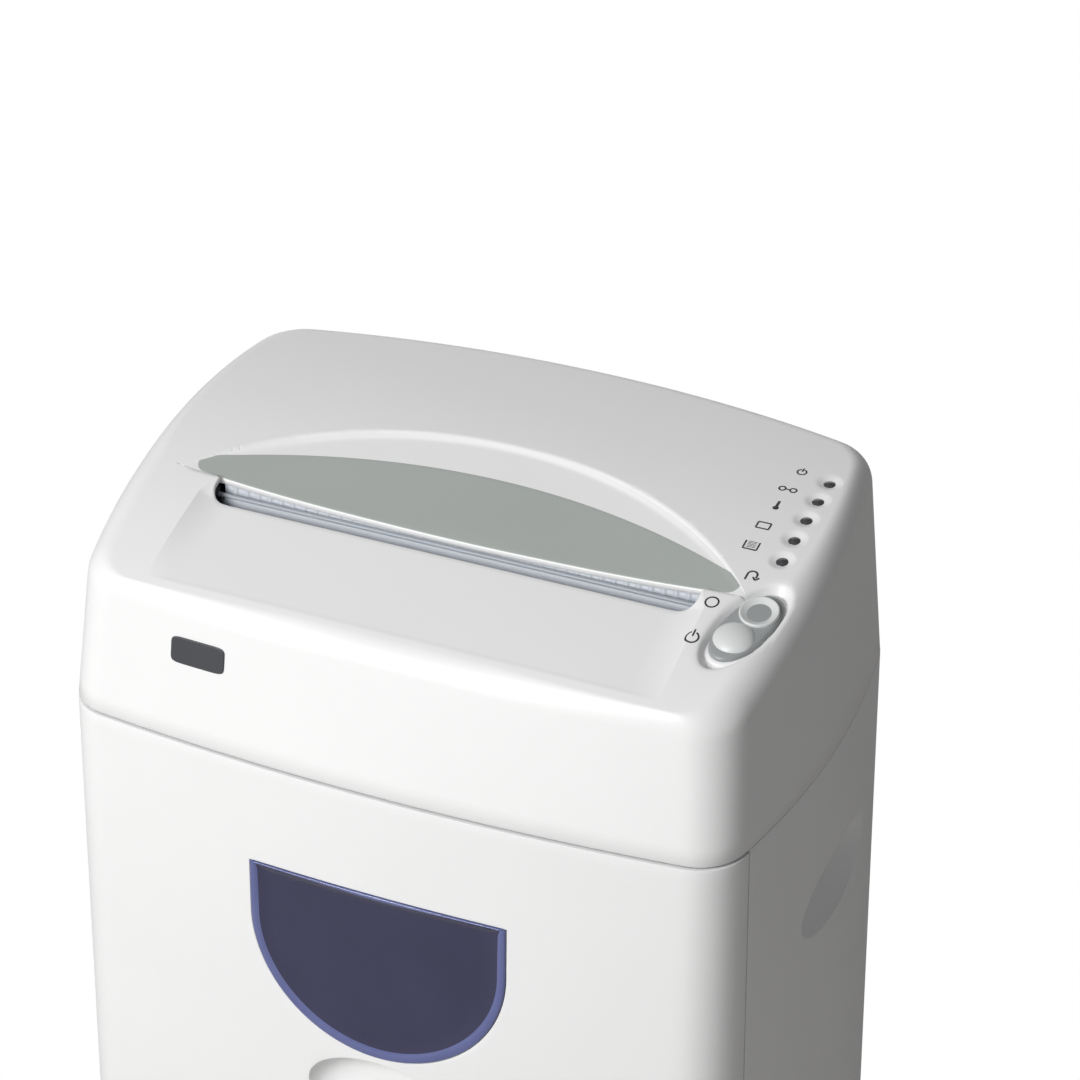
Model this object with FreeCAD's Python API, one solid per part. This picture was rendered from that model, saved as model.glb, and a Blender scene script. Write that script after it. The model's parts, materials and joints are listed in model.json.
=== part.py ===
import FreeCAD, Part
import math
import os

# Paper shredder: a cutting head on a cabinet with a pull-out bin, on four castors.
# X is to the right, Y to the back, Z up. Sizes are in millimetres.
# The origin is on the floor, below the middle of the body.

# ---------------------------------------------------------------- driving sizes
body_width = 346.0
body_depth = 242.0
seam_height = 430.0
wheel_radius = 22.5
castor_headroom = 15.0
castor_height = 2 * wheel_radius + castor_headroom
front_bow = 10.5
side_bow = 12.0
back_bow = 22.0
corner_radius = 24.0
wall = 3.0
draft_angle = 1.0
seam_gap = 1.2

# head: how far each face leans in, per mm of height, and the domed top
head_lean_front = 0.21
head_lean_side = 0.075
head_lean_back = 0.079
head_bow_loss = 0.085
dome_front_rise = 67.0
dome_slot_rise = 89.0
dome_back_rise = 106.0
dome_front_setback = 16.0
dome_slot_setback = 80.0
dome_back_setback = 8.0
top_round = 11.0

# feed slot
slot_half_length = 119.0
slot_front_setback = 75.0
slot_width = 12.0
ramp_half_width = 122.0
ramp_front_setback = 23.0
ramp_drop = 4.0
scoop_half_width = 139.0
scoop_reach = 62.0
scoop_lift = 1500.0
insert_arch_radius = 292.0
insert_reach = 41.0
insert_tip_radius = 5.3
insert_thickness = 2.5
fit_gap = 0.4
guide_thickness = 2.0
throat_gap = 5.0
throat_clear = 1.8
flap_thickness = 1.4
flap_length = 9.0
flap_lean = 28.0

# rocker switch on the right shoulder
switch_x = 144.5
switch_y = -49.0
switch_turn = -18.0
funnel_half_length = 28.0
funnel_half_width = 13.5
funnel_depth = 5.0
funnel_floor = 1.6
rocker_length = 38.0
rocker_width = 17.0
rocker_height = 7.0
rocker_gap = 1.3
rocker_pin_radius = 1.2
rocker_pin_drop = 2.0
rocker_sink = 1.6
rocker_skirt = 4.0
rocker_dish_radius = 16.0
rocker_dish_rise = 12.4
rocker_dish_offset = 9.5
rocker_relief_radius = 24.0
funnel_rim = 1.2
funnel_lip = 3.0
funnel_skirt = 11.0

# indicator lamps beside it
lamp_count = 5
lamp_first_y = -8.7
lamp_pitch = 14.85
lamp_x = 145.5
lamp_radius = 3.0
lamp_length = 9.0
lamp_top = 0.2
lamp_dish_depth = 1.4
lamp_dish_radius = 6.0
board_thickness = 1.6
board_width = 14.0

# cutting block
cutter_rise = 32.0
cutter_height = seam_height + cutter_rise
cutter_spacing = 38.0
cutter_overlap = 4.0
cutter_count = 22
cutter_hub_radius = 14.0
cutter_shaft_radius = 8.0
cutter_teeth = 10
cutter_tooth_height = 3.0
cutter_side_gap = 0.9
frame_thickness = 4.0
frame_gap = 2.0
frame_rim = 2.0
foot_thickness = 2.0
running_gap = 0.05
bearing_outer_radius = 13.0
rod_radius = 3.0
comb_bar = 8.0

# gear train on the left of the cutting block
gear_module = 2.0
sync_width = 9.0
drive_teeth = 30
pinion_teeth = 12
drive_width = 8.0
motor_module = 1.25
compound_teeth = 40
motor_teeth = 14
motor_width = 8.0
mesh_slack = 0.25
gear_gap = 1.2
pressure_angle = 20.0
tooth_fill = 0.86
addendum = 0.85
dedendum = 1.15
compound_pin_radius = 4.0

# motor
motor_radius = 27.0
motor_length = 104.0
motor_wall = 2.5
rotor_radius = 16.0
motor_shaft_radius = 4.0
fan_radius = 22.0
fan_width = 8.0
fan_blades = 7

# power board, capacitor and slot sensor
standoff_height = 4.0
standoff_radius = 2.5
power_board_x = 42.0
power_board_length = 62.0
power_board_depth = 50.0
board_edge = 5.0
transformer_length = 28.0
transformer_height = 24.0
relay_length = 17.0
relay_height = 16.0
capacitor_x = 24.0
capacitor_radius = 11.0
capacitor_length = 50.0
sensor_half_width = 8.0
sensor_depth = 9.0
sensor_half_height = 5.0
sensor_drop = 12.0
sensor_eye_radius = 2.5
flap_pin_radius = 1.2
flap_bracket_width = 4.0

# cabinet, bin and window
ledge_width = 12.0
door_setback = 32.0
door_gap = 0.8
base_thickness = 12.0
chassis_thickness = 3.0
chassis_gap = 0.5
bin_wall = 2.0
bin_top_drop = 53.5
bin_overhang = 1.0
bin_back_gap = 16.0
bin_floor_gap = 5.0
bin_draft = 6.0
bin_front_gap = 3.5
carrier_setback = 9.5
carrier_plate = 3.0
carrier_rail = 10.0
carrier_post = 60.0
rib_x = 100.0
rail_width = 14.0
rail_height = 9.0
rail_wall = 1.6
rail_gap = 1.0
window_half_width = 64.0
window_top_drop = 53.0
window_straight = 27.0
window_thickness = 2.6
window_proud = 0.8
retainer_width = 7.0
retainer_lap = 1.2
pull_gap = 3.4
pull_half_width = 36.0
pull_half_height = 20.0
pull_depth = 12.0
pull_wall = 1.8

# hand grips in the sides
grip_length = 95.0
grip_height = 37.0
grip_y = 10.5
grip_drop = 74.5
grip_depth = 17.0

# rear fittings
inlet_width = 30.0
inlet_height = 22.0
inlet_depth = 22.0
inlet_rise = 30.0
mains_width = 14.0
mains_height = 21.0
plate_thickness = 2.0
mains_spacing = 34.0
mains_wall = 1.5
mains_depth = 18.0
mains_pivot_depth = 5.0
mains_pin_radius = 1.0
plate_half_height = 14.0
plate_margin = 3.0
plate_flange = 4.0
inlet_wall = 3.0
inlet_floor = 4.0
inlet_pin_spacing = 7.0
inlet_pin_length = 15.0

# castors
wheel_width = 17.0
wheel_trail = 14.0
castor_x = 126.0
castor_front_y = -78.0
castor_back_y = 66.0
fork_wall = 3.0
fork_gap = 1.0
axle_radius = 3.0
stem_radius = 4.5
swivel_gap = 0.6

# badge on the front of the head
badge_width = 28.0
badge_height = 12.5
badge_x = -92.0
badge_rise = 43.5
badge_thickness = 0.8

BIG = 2000.0
V = FreeCAD.Vector

# ---------------------------------------------------------------- derived places
half_depth = body_depth / 2
dome_points = [
    (-half_depth + dome_front_setback, seam_height + dome_front_rise),
    (-half_depth + dome_slot_setback, seam_height + dome_slot_rise),
    (half_depth - dome_back_setback, seam_height + dome_back_rise),
]
slot_front = -half_depth + slot_front_setback
slot_rear = slot_front + slot_width
slot_middle = (slot_front + slot_rear) / 2
door_plane = -half_depth + door_setback
tan_draft = math.tan(math.radians(draft_angle))
cutter_radius = (cutter_spacing + cutter_overlap) / 2
front_cutter_y = slot_middle - cutter_spacing / 2
rear_cutter_y = slot_middle + cutter_spacing / 2
frame_inside = slot_half_length + frame_gap
frame_outside = frame_inside + frame_thickness
sync_teeth = round(cutter_spacing / gear_module)
compound_y = rear_cutter_y + (drive_teeth + pinion_teeth) * gear_module / 2 + mesh_slack
motor_y = compound_y + (compound_teeth + motor_teeth) * motor_module / 2 + mesh_slack


def circle_through(a, b, c):
    """Centre and radius of the circle through three points of a plane."""
    ax, ay = a[0] - c[0], a[1] - c[1]
    bx, by = b[0] - c[0], b[1] - c[1]
    turn = 2 * (ax * by - ay * bx)
    ux = (by * (ax * ax + ay * ay) - ay * (bx * bx + by * by)) / turn
    uy = (ax * (bx * bx + by * by) - bx * (ax * ax + ay * ay)) / turn
    return c[0] + ux, c[1] + uy, math.hypot(ux, uy)


dome_y, dome_z, dome_radius = circle_through(*dome_points)


def dome_height(y, below=0.0):
    """Height of the domed top at a given Y, or of a surface a little below it."""
    return dome_z + math.sqrt((dome_radius - below) ** 2 - (y - dome_y) ** 2)


def dome_slope(y):
    """Slope of the domed top in degrees; it climbs towards the back."""
    return math.degrees(math.asin((dome_y - y) / dome_radius))


# ---------------------------------------------------------------- small builders
def box(x0, x1, y0, y1, z0, z1):
    return Part.makeBox(x1 - x0, y1 - y0, z1 - z0, V(x0, y0, z0))


def rod_x(radius, x0, x1, y, z):
    return Part.makeCylinder(radius, x1 - x0, V(x0, y, z), V(1, 0, 0))


def rod_z(radius, z0, z1, x, y):
    return Part.makeCylinder(radius, z1 - z0, V(x, y, z0), V(0, 0, 1))


def arc(a, b, c):
    return Part.Arc(V(*a), V(*b), V(*c)).toShape()


def fuse(shapes):
    result = shapes[0]
    if len(shapes) > 1:
        result = shapes[0].multiFuse(shapes[1:])
    return result.removeSplitter()


def cut(shape, tools):
    for tool in tools:
        shape = shape.cut(tool)
    return shape


def main_solid(shape):
    """The largest solid of a result, without loose slivers."""
    return max(shape.Solids, key=lambda s: s.Volume)


def ellipse_prism(half_length, half_width, z0, z1):
    """Upright prism on an ellipse whose long axis lies along Y."""
    ring = Part.Ellipse(V(0, 0, z0), half_length, half_width).toShape()
    ring.rotate(V(0, 0, z0), V(0, 0, 1), 90)
    return Part.Face(Part.Wire([ring])).extrude(V(0, 0, z1 - z0))


def pill_prism(length, width, z0, z1):
    """Upright prism with straight sides along Y and round ends."""
    reach = (length - width) / 2
    middle = box(-width / 2, width / 2, -reach, reach, z0, z1)
    ends = [rod_z(width / 2, z0, z1, 0, y) for y in (-reach, reach)]
    return fuse([middle] + ends)


def bowed_wire(z, half_width, bow_side, front, bow_front, back, bow_back):
    """Closed outline of four shallow arcs, at one height."""
    corner = half_width - bow_side
    front_corner = front + bow_front
    back_corner = back - bow_back
    middle = (front_corner + back_corner) / 2
    a = (-corner, front_corner, z)
    b = (corner, front_corner, z)
    c = (corner, back_corner, z)
    d = (-corner, back_corner, z)
    edges = [
        arc(a, (0, front, z), b),
        arc(b, (half_width, middle, z), c),
        arc(c, (0, back, z), d),
        arc(d, (-half_width, middle, z), a),
    ]
    return Part.Wire(edges)


def cabinet_wire(z, inset):
    flare = (seam_height - z) * tan_draft - inset
    front = -half_depth - flare
    back = half_depth + flare
    return bowed_wire(z, body_width / 2 + flare, side_bow, front, front_bow, back, back_bow)


def head_wire(z, inset):
    rise = z - seam_height
    half_width = body_width / 2 - head_lean_side * rise - inset
    front = -half_depth + head_lean_front * rise + inset
    back = half_depth - head_lean_back * rise - inset
    bow = front_bow - head_bow_loss * rise
    return bowed_wire(z, half_width, side_bow, front, bow, back, back_bow)


def rounded_loft(wire_of, z0, z1, inset, radius):
    """Solid between two outlines, with its four upright edges rounded."""
    solid = Part.makeLoft([wire_of(z0, inset), wire_of(z1, inset)], True, True)
    span = z1 - z0
    upright = [e for e in solid.Edges if abs(e.Vertexes[0].Z - e.Vertexes[-1].Z) > 0.9 * span]
    return solid.makeFillet(radius, upright)


def under_dome(below):
    """Everything below the domed top, or below a surface parallel to it."""
    y0 = -half_depth - 20
    y1 = half_depth + 20
    ym = (y0 + y1) / 2
    top = arc((-BIG, y0, dome_height(y0, below)), (-BIG, ym, dome_height(ym, below)),
              (-BIG, y1, dome_height(y1, below)))
    floor = Part.makePolygon([V(-BIG, y1, dome_height(y1, below)), V(-BIG, y1, 0),
                              V(-BIG, y0, 0), V(-BIG, y0, dome_height(y0, below))])
    face = Part.Face(Part.Wire([top] + floor.Edges))
    return face.extrude(V(2 * BIG, 0, 0))


def head_block(inset, round_radius, z0):
    """The head's outer form, or its hollow when inset by the wall."""
    top = seam_height + dome_back_rise + 12
    block = rounded_loft(head_wire, z0, top, inset, corner_radius - inset)
    block = block.common(under_dome(inset))
    limit = seam_height + dome_front_rise / 2
    rim = [e for e in block.Edges if min(v.Z for v in e.Vertexes) > limit]
    return block.makeFillet(round_radius, rim)


def on_switch(shape):
    """Carries a shape from the switch's own frame to the sloping shoulder."""
    placed = shape.copy()
    placed.rotate(V(0, 0, 0), V(0, 0, 1), switch_turn)
    placed.rotate(V(0, 0, 0), V(1, 0, 0), dome_slope(switch_y))
    placed.translate(V(switch_x, switch_y, dome_height(switch_y)))
    return placed


def on_dome(shape, x, y):
    """Carries a shape made about the origin to the domed top, square to it."""
    placed = shape.copy()
    placed.rotate(V(0, 0, 0), V(1, 0, 0), dome_slope(y))
    placed.translate(V(x, y, dome_height(y)))
    return placed


def gear(teeth, module, x0, x1, y, z, bore, first_tooth):
    """Spur gear about X; first_tooth is the direction of one tooth in degrees."""
    pitch = teeth * module / 2
    base = pitch * math.cos(math.radians(pressure_angle))
    tip = pitch + addendum * module
    root = pitch - dedendum * module
    at_pitch = math.tan(math.radians(pressure_angle)) - math.radians(pressure_angle)
    half = tooth_fill * math.pi / (2 * teeth)
    steps = 4
    start = max(base, root)
    flank = []
    for k in range(steps + 1):
        radius = start + (tip - start) * k / steps
        roll = math.acos(min(1.0, base / radius))
        flank.append((radius, half + at_pitch - (math.tan(roll) - roll)))
    flank.insert(0, (root, flank[0][1] * 1.15))
    points = []
    for k in range(teeth):
        middle = math.radians(first_tooth) + 2 * math.pi * k / teeth
        for radius, width in flank:
            points.append((radius, middle - width))
        for radius, width in reversed(flank):
            points.append((radius, middle + width))
    outline = [V(x0, y + r * math.cos(a), z + r * math.sin(a)) for r, a in points]
    face = Part.Face(Part.makePolygon(outline + [outline[0]]))
    return face.extrude(V(x1 - x0, 0, 0)).cut(rod_x(bore, x0 - 1, x1 + 1, y, z))


# ---------------------------------------------------------------- head
def slot_hole(low, high):
    return box(-slot_half_length, slot_half_length, slot_front, slot_rear, low, high)


def scoop_tool():
    """Ball that meets the dome along an arch behind the slot."""
    peak_y = slot_rear + scoop_reach
    peak_z = dome_height(peak_y)
    tip_z = dome_height(slot_rear)
    centre_z = peak_z + scoop_lift
    lhs = scoop_half_width ** 2 + slot_rear ** 2 - peak_y ** 2
    lhs += (tip_z - centre_z) ** 2 - (peak_z - centre_z) ** 2
    centre_y = lhs / (2 * (slot_rear - peak_y))
    radius = math.hypot(peak_y - centre_y, peak_z - centre_z)
    return V(0, centre_y, centre_z), radius


scoop_centre, scoop_radius = scoop_tool()


def scoop_ball(grow=0.0):
    ball = Part.makeSphere(scoop_radius + grow, scoop_centre)
    room = box(-body_width, body_width, slot_rear, half_depth, 0, seam_height + body_width)
    return ball.common(room)


ramp_start = -half_depth + ramp_front_setback


def ramp_height(y):
    """Height of the flat ramp that leads the sheets down to the slot."""
    z0 = dome_height(ramp_start)
    z1 = dome_height(slot_front) - ramp_drop
    return z0 + (z1 - z0) * (y - ramp_start) / (slot_front - ramp_start)


def ramp_tool():
    y0 = ramp_start
    high = ramp_height(slot_front) + 40
    outline = [V(-ramp_half_width, y0, ramp_height(y0)),
               V(-ramp_half_width, slot_front, ramp_height(slot_front)),
               V(-ramp_half_width, slot_front, high), V(-ramp_half_width, y0, high)]
    face = Part.Face(Part.makePolygon(outline + [outline[0]]))
    return face.extrude(V(2 * ramp_half_width, 0, 0))


def crescent_prism(grow, low, high):
    """Upright prism on the crescent between the slot and a shallow arch behind it."""
    radius = insert_arch_radius + grow
    reach = slot_rear + insert_reach + grow
    y0 = slot_rear - grow
    half = math.sqrt(radius ** 2 - (radius - reach + y0) ** 2)
    edges = [Part.makeLine(V(half, y0, low), V(-half, y0, low)),
             arc((-half, y0, low), (0, reach, low), (half, y0, low))]
    prism = Part.Face(Part.Wire(edges)).extrude(V(0, 0, high - low))
    tips = [e for e in prism.Edges if abs(e.Vertexes[0].Z - e.Vertexes[-1].Z) > (high - low) / 2]
    return prism.makeFillet(insert_tip_radius + grow, tips)


def lamp_places():
    return [lamp_first_y + k * lamp_pitch for k in range(lamp_count)]


def rear_wall(z):
    """Y of the outer face of the head's back, in the middle."""
    return half_depth - head_lean_back * (z - seam_height)


def make_head_housing():
    shell = head_block(0.0, top_round, seam_height)
    shell = shell.cut(head_block(wall, top_round - wall, seam_height - 1))
    shell = shell.cut(ramp_tool())
    shell = shell.cut(scoop_ball())
    low = seam_height + dome_front_rise / 2
    high = seam_height + dome_back_rise + 30
    skin = scoop_under_skin()
    shell = shell.fuse(skin)
    shell = shell.cut(slot_hole(low, high))
    shell = shell.cut(crescent_prism(fit_gap, low, high))
    funnel = ellipse_prism(funnel_half_length, funnel_half_width, -20, 20)
    shell = shell.cut(on_switch(funnel))
    for y in lamp_places():
        dish = Part.makeSphere(lamp_dish_radius, V(0, 0, lamp_dish_radius - lamp_dish_depth))
        hole = rod_z(lamp_radius + fit_gap / 2, -20, 20, 0, 0)
        shell = shell.cut(on_dome(dish, lamp_x, y)).cut(on_dome(hole, lamp_x, y))
    z = seam_height + inlet_rise
    width = inlet_width + mains_spacing + mains_width
    shell = shell.cut(rear_opening(width, z))
    return main_solid(shell)


def scoop_under_skin():
    """Wall below the scooped band and the ramp, so that neither breaks through."""
    band = Part.makeSphere(scoop_radius + wall, scoop_centre)
    room = box(-scoop_half_width - 8, scoop_half_width + 8, slot_rear - wall,
               slot_rear + scoop_reach + 8, seam_height, seam_height + body_width)
    band = band.common(room).cut(Part.makeSphere(scoop_radius, scoop_centre))
    band = band.common(under_dome(wall * 0.6))
    y0 = ramp_start + 4 * wall
    y1 = slot_front
    side = -ramp_half_width - wall / 2
    outline = [V(side, y0, ramp_height(y0)), V(side, y1, ramp_height(y1)),
               V(side, y1, ramp_height(y1) - wall), V(side, y0, ramp_height(y0) - wall)]
    ramp = Part.Face(Part.makePolygon(outline + [outline[0]]))
    ramp = ramp.extrude(V(-2 * side, 0, 0))
    return fuse([main_solid(band), ramp])


def rear_opening(width, z):
    y = rear_wall(z)
    return box(-width / 2 - 3, width / 2 + 3, y - 3 * wall, y + 10, z - 14, z + 14)


def make_feed_insert():
    low = seam_height + dome_front_rise / 2
    high = seam_height + dome_back_rise + 30
    plate = crescent_prism(0.0, low, high)
    plate = plate.cut(Part.makeSphere(scoop_radius, scoop_centre))
    return main_solid(plate.common(Part.makeSphere(scoop_radius + insert_thickness, scoop_centre)))


def make_throat(front):
    """Smooth plate that leads the sheet from the slot down to the cutters."""
    top = ramp_height(slot_front) - wall - throat_clear
    low = frame_top()
    side = frame_outside
    if front:
        wide, narrow, t = slot_front, slot_middle - throat_gap / 2, -guide_thickness
    else:
        wide, narrow, t = slot_rear, slot_middle + throat_gap / 2, guide_thickness
    knee = top - 14
    outline = [V(-side, wide, top), V(-side, wide, knee), V(-side, narrow, low),
               V(-side, narrow + t, low), V(-side, wide + t, knee), V(-side, wide + t, top)]
    face = Part.Face(Part.makePolygon(outline + [outline[0]]))
    return face.extrude(V(2 * side, 0, 0))


def flap_pivot():
    return slot_rear - 2.2, ramp_height(slot_front) - 2.0


def make_safety_flap():
    """Clear flap that hangs across the slot from a thin rod."""
    y, z = flap_pivot()
    side = slot_half_length - 3
    blade = box(-side, side, y - flap_thickness / 2, y + flap_thickness / 2, z - flap_length, z)
    blade.rotate(V(0, y, z), V(1, 0, 0), -flap_lean)
    rod = rod_x(flap_pin_radius, -slot_half_length - 1.5, slot_half_length + 1.5, y, z)
    return fuse([blade, rod])


def make_flap_brackets():
    y, z = flap_pivot()
    brackets = []
    for side in (-1, 1):
        inner = slot_half_length + 0.5
        outer = inner + flap_bracket_width
        x0, x1 = sorted((side * inner, side * outer))
        block = box(x0, x1, y - 4, y + 2, z - 6, dome_height(y - 4) - wall - 1)
        brackets.append(block.cut(rod_x(flap_pin_radius + running_gap, -BIG, BIG, y, z)))
    return Part.makeCompound(brackets)


def make_slot_sensor():
    """Small light gate on the front throat plate."""
    y = slot_front - guide_thickness
    z = ramp_height(slot_front) - wall - sensor_drop
    body = box(-sensor_half_width, sensor_half_width, y - sensor_depth, y - 0.1,
               z - sensor_half_height, z + sensor_half_height)
    eye_reach = sensor_half_width + 3
    return fuse([body, rod_x(sensor_eye_radius, -eye_reach, eye_reach, y - sensor_depth / 2, z)])


def make_switch_bezel():
    outer = ellipse_prism(funnel_half_length - fit_gap / 2, funnel_half_width - fit_gap / 2,
                          -funnel_depth - funnel_floor, -funnel_rim / 2)
    bowl = Part.makeSphere(1.0, V(0, 0, 0))
    stretch = FreeCAD.Matrix()
    stretch.scale(funnel_half_width - funnel_rim, funnel_half_length - funnel_rim,
                  funnel_depth + fit_gap)
    bowl = bowl.transformGeometry(stretch)
    well_length = rocker_length + 2 * rocker_gap
    well_width = rocker_width + rocker_gap
    low = -funnel_depth - funnel_skirt
    lip = pill_prism(well_length + 2 * funnel_lip, well_width + funnel_lip, low, -funnel_depth)
    well = pill_prism(well_length, well_width, low - 1, funnel_depth)
    body = outer.cut(bowl).fuse(lip).cut(well)
    pin = rod_x(rocker_pin_radius, -BIG, BIG, 0, rocker_pin_z())
    return on_switch(main_solid(body.cut(pin)))


def rocker_pin_z():
    return -rocker_height - rocker_pin_drop


def make_rocker():
    """Rocker with a dished pad at each end."""
    body = pill_prism(rocker_length, rocker_width - rocker_gap / 2,
                      -rocker_height - rocker_skirt, -rocker_sink)
    dishes = [Part.makeSphere(rocker_dish_radius, V(0, y, rocker_dish_rise))
              for y in (-rocker_dish_offset, rocker_dish_offset)]
    body = cut(body, dishes)
    body = body.common(Part.makeSphere(rocker_relief_radius, V(0, 0, rocker_pin_z())))
    pin = rod_x(rocker_pin_radius + running_gap, -BIG, BIG, 0, rocker_pin_z())
    return on_switch(main_solid(body.cut(pin)))


def make_rocker_pin():
    half = rocker_width / 2 + 2.4
    return on_switch(rod_x(rocker_pin_radius, -half, half, 0, rocker_pin_z()))


def make_lamp(y):
    neck = lamp_top - lamp_radius
    stem = rod_z(lamp_radius, -lamp_length, neck, 0, 0)
    cap = Part.makeSphere(lamp_radius, V(0, 0, neck))
    cap = cap.common(box(-lamp_radius, lamp_radius, -lamp_radius, lamp_radius, neck, lamp_top))
    return on_dome(fuse([stem, cap]), lamp_x, y)


def make_lamps():
    return Part.makeCompound([make_lamp(y) for y in lamp_places()])


def make_control_board():
    middle = lamp_first_y + (lamp_count - 1) * lamp_pitch / 2
    length = lamp_count * lamp_pitch
    z = -lamp_length
    plate = box(-board_width / 2, board_width / 2, -length / 2, length / 2, z - board_thickness, z)
    placed = on_dome(plate, lamp_x, middle)
    sag = lamp_sag()
    placed.translate(V(0, 0, -sag))
    return placed


def lamp_sag():
    """How far the dome rises above its chord over the row of lamps."""
    reach = lamp_count * lamp_pitch / 2
    return reach * reach / (2 * dome_radius) + 0.2


def make_badge():
    z = seam_height + badge_rise
    block = box(badge_x - badge_width / 2, badge_x + badge_width / 2, -BIG, 0,
                z - badge_height / 2, z + badge_height / 2)
    upright = [e for e in block.Edges if abs(e.Vertexes[0].Y - e.Vertexes[-1].Y) > 10]
    block = block.makeFillet(2.0, upright)
    skin = head_block(-badge_thickness, top_round, seam_height)
    return main_solid(block.common(skin).cut(head_block(0.0, top_round, seam_height)))


# ---------------------------------------------------------------- cutting block
def cutter_slots():
    """Centres of the discs of one shaft; the other shaft's lie between them."""
    pitch = 2 * slot_half_length / (2 * cutter_count + 1)
    first = -slot_half_length + pitch
    return pitch, [first + 2 * pitch * k for k in range(cutter_count)]


def cutter_disc(x, width, y, z, turn):
    points = []
    for k in range(cutter_teeth):
        a = math.radians(turn) + 2 * math.pi * k / cutter_teeth
        step = 2 * math.pi / cutter_teeth
        points.append((cutter_radius, a))
        points.append((cutter_radius - 0.4, a + 0.45 * step))
        points.append((cutter_radius - cutter_tooth_height, a + 0.8 * step))
    outline = [V(x, y + r * math.cos(a), z + r * math.sin(a)) for r, a in points]
    return Part.Face(Part.makePolygon(outline + [outline[0]])).extrude(V(width, 0, 0))


def make_cutter(front):
    pitch, places = cutter_slots()
    width = pitch - cutter_side_gap
    y = front_cutter_y if front else rear_cutter_y
    shift = 0.0 if front else pitch
    left_end = gear_planes()["sync" if front else "drive"][0]
    pieces = [rod_x(cutter_shaft_radius, left_end, frame_outside + 3, y, cutter_height),
              rod_x(cutter_hub_radius, -slot_half_length, slot_half_length, y, cutter_height)]
    for k, x in enumerate(places):
        x0 = x + shift - width / 2
        turn = 8 * k if front else -8 * k
        pieces.append(cutter_disc(x0, width, y, cutter_height, turn))
    return fuse(pieces)


def make_comb(front):
    """Bar with fingers that reach between the discs and strip the shreds off."""
    pitch, places = cutter_slots()
    side = -1 if front else 1
    y = front_cutter_y if front else rear_cutter_y
    shift = pitch if front else 0.0
    near = y + side * (cutter_hub_radius + 0.8)
    far = y + side * (cutter_radius + 2)
    bar_far = far + side * comb_bar
    y0, y1 = sorted((far, bar_far))
    bar = box(-frame_inside, frame_inside, y0, y1, cutter_height - comb_bar,
              cutter_height + comb_bar)
    fingers = []
    width = pitch - cutter_side_gap
    for x in places[:-1]:
        middle = x + shift
        f0, f1 = sorted((near, far + side))
        fingers.append(box(middle - width / 2, middle + width / 2, f0, f1,
                           cutter_height - comb_bar / 2, cutter_height + comb_bar / 2))
    holes = [rod_x(rod_radius, -BIG, BIG, y_rod, z) for y_rod, z in rod_places()]
    return cut(fuse([bar] + fingers), holes)


def rod_places():
    """Y and Z of the tie rods that join the side frames."""
    front = front_cutter_y - cutter_radius - 2 - comb_bar / 2
    rear = rear_cutter_y + cutter_radius + 2 + comb_bar / 2
    return [(front, cutter_height), (rear, cutter_height)]


def frame_top():
    return cutter_height + cutter_radius + frame_rim


def make_side_frame(side):
    x0, x1 = sorted((side * frame_inside, side * frame_outside))
    y0 = rod_places()[0][0] - 10
    y1 = motor_y + motor_radius
    low = seam_height + chassis_thickness
    plate = box(x0, x1, y0, y1, low, frame_top())
    foot_far = side * (frame_outside - 16)
    f0, f1 = sorted((side * frame_outside, foot_far))
    rear_foot = box(f0, f1, rear_cutter_y + cutter_radius + 14, y1, low, low + foot_thickness)
    plate = fuse([plate, rear_foot])
    holes = [rod_x(bearing_outer_radius, x0 - 1, x1 + 1, y, cutter_height)
             for y in (front_cutter_y, rear_cutter_y)]
    holes += [rod_x(rod_radius, x0 - 1, x1 + 1, y, z) for y, z in rod_places()]
    if side < 0:
        holes.append(rod_x(compound_pin_radius, x0 - 1, x1 + 1, compound_y, cutter_height))
        holes.append(rod_x(motor_shaft_radius + 2, x0 - 1, x1 + 1, motor_y, cutter_height))
    return cut(plate, holes)


def make_bearing(side, y):
    x0, x1 = sorted((side * frame_inside, side * frame_outside))
    ring = rod_x(bearing_outer_radius, x0, x1, y, cutter_height)
    return ring.cut(rod_x(cutter_shaft_radius + running_gap, x0 - 1, x1 + 1, y, cutter_height))


def make_bearings():
    places = [(side, y) for side in (-1, 1) for y in (front_cutter_y, rear_cutter_y)]
    return Part.makeCompound([make_bearing(side, y) for side, y in places])


def make_tie_rods():
    rods = []
    for y, z in rod_places():
        rods.append(rod_x(rod_radius, -frame_outside - 2, frame_outside + 2, y, z))
    return Part.makeCompound(rods)


def gear_planes():
    """Left and right face of each gear, counted outwards from the side frame."""
    sync = -frame_outside - gear_gap
    drive = sync - sync_width - gear_gap
    motor = drive - drive_width - gear_gap
    return {
        "sync": (sync - sync_width, sync),
        "drive": (drive - drive_width, drive),
        "motor": (motor - motor_width, motor),
    }


def make_sync_gear(front):
    x0, x1 = gear_planes()["sync"]
    y = front_cutter_y if front else rear_cutter_y
    first = 0.0 if front else 180.0 + 180.0 / sync_teeth
    shape = gear(sync_teeth, gear_module, x0, x1, y, cutter_height, cutter_shaft_radius, first)
    return shape


def make_drive_gear():
    x0, x1 = gear_planes()["drive"]
    return gear(drive_teeth, gear_module, x0, x1, rear_cutter_y, cutter_height,
                cutter_shaft_radius, 0.0)


def make_compound_gear():
    """Large wheel driven by the motor, made in one with the small drive pinion."""
    d0, d1 = gear_planes()["drive"]
    m0, m1 = gear_planes()["motor"]
    bore = compound_pin_radius + running_gap
    small = gear(pinion_teeth, gear_module, m1, d1, compound_y, cutter_height, bore,
                 180.0 + 180.0 / pinion_teeth)
    large = gear(compound_teeth, motor_module, m0, m1, compound_y, cutter_height, bore, 0.0)
    return fuse([small, large])


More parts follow.
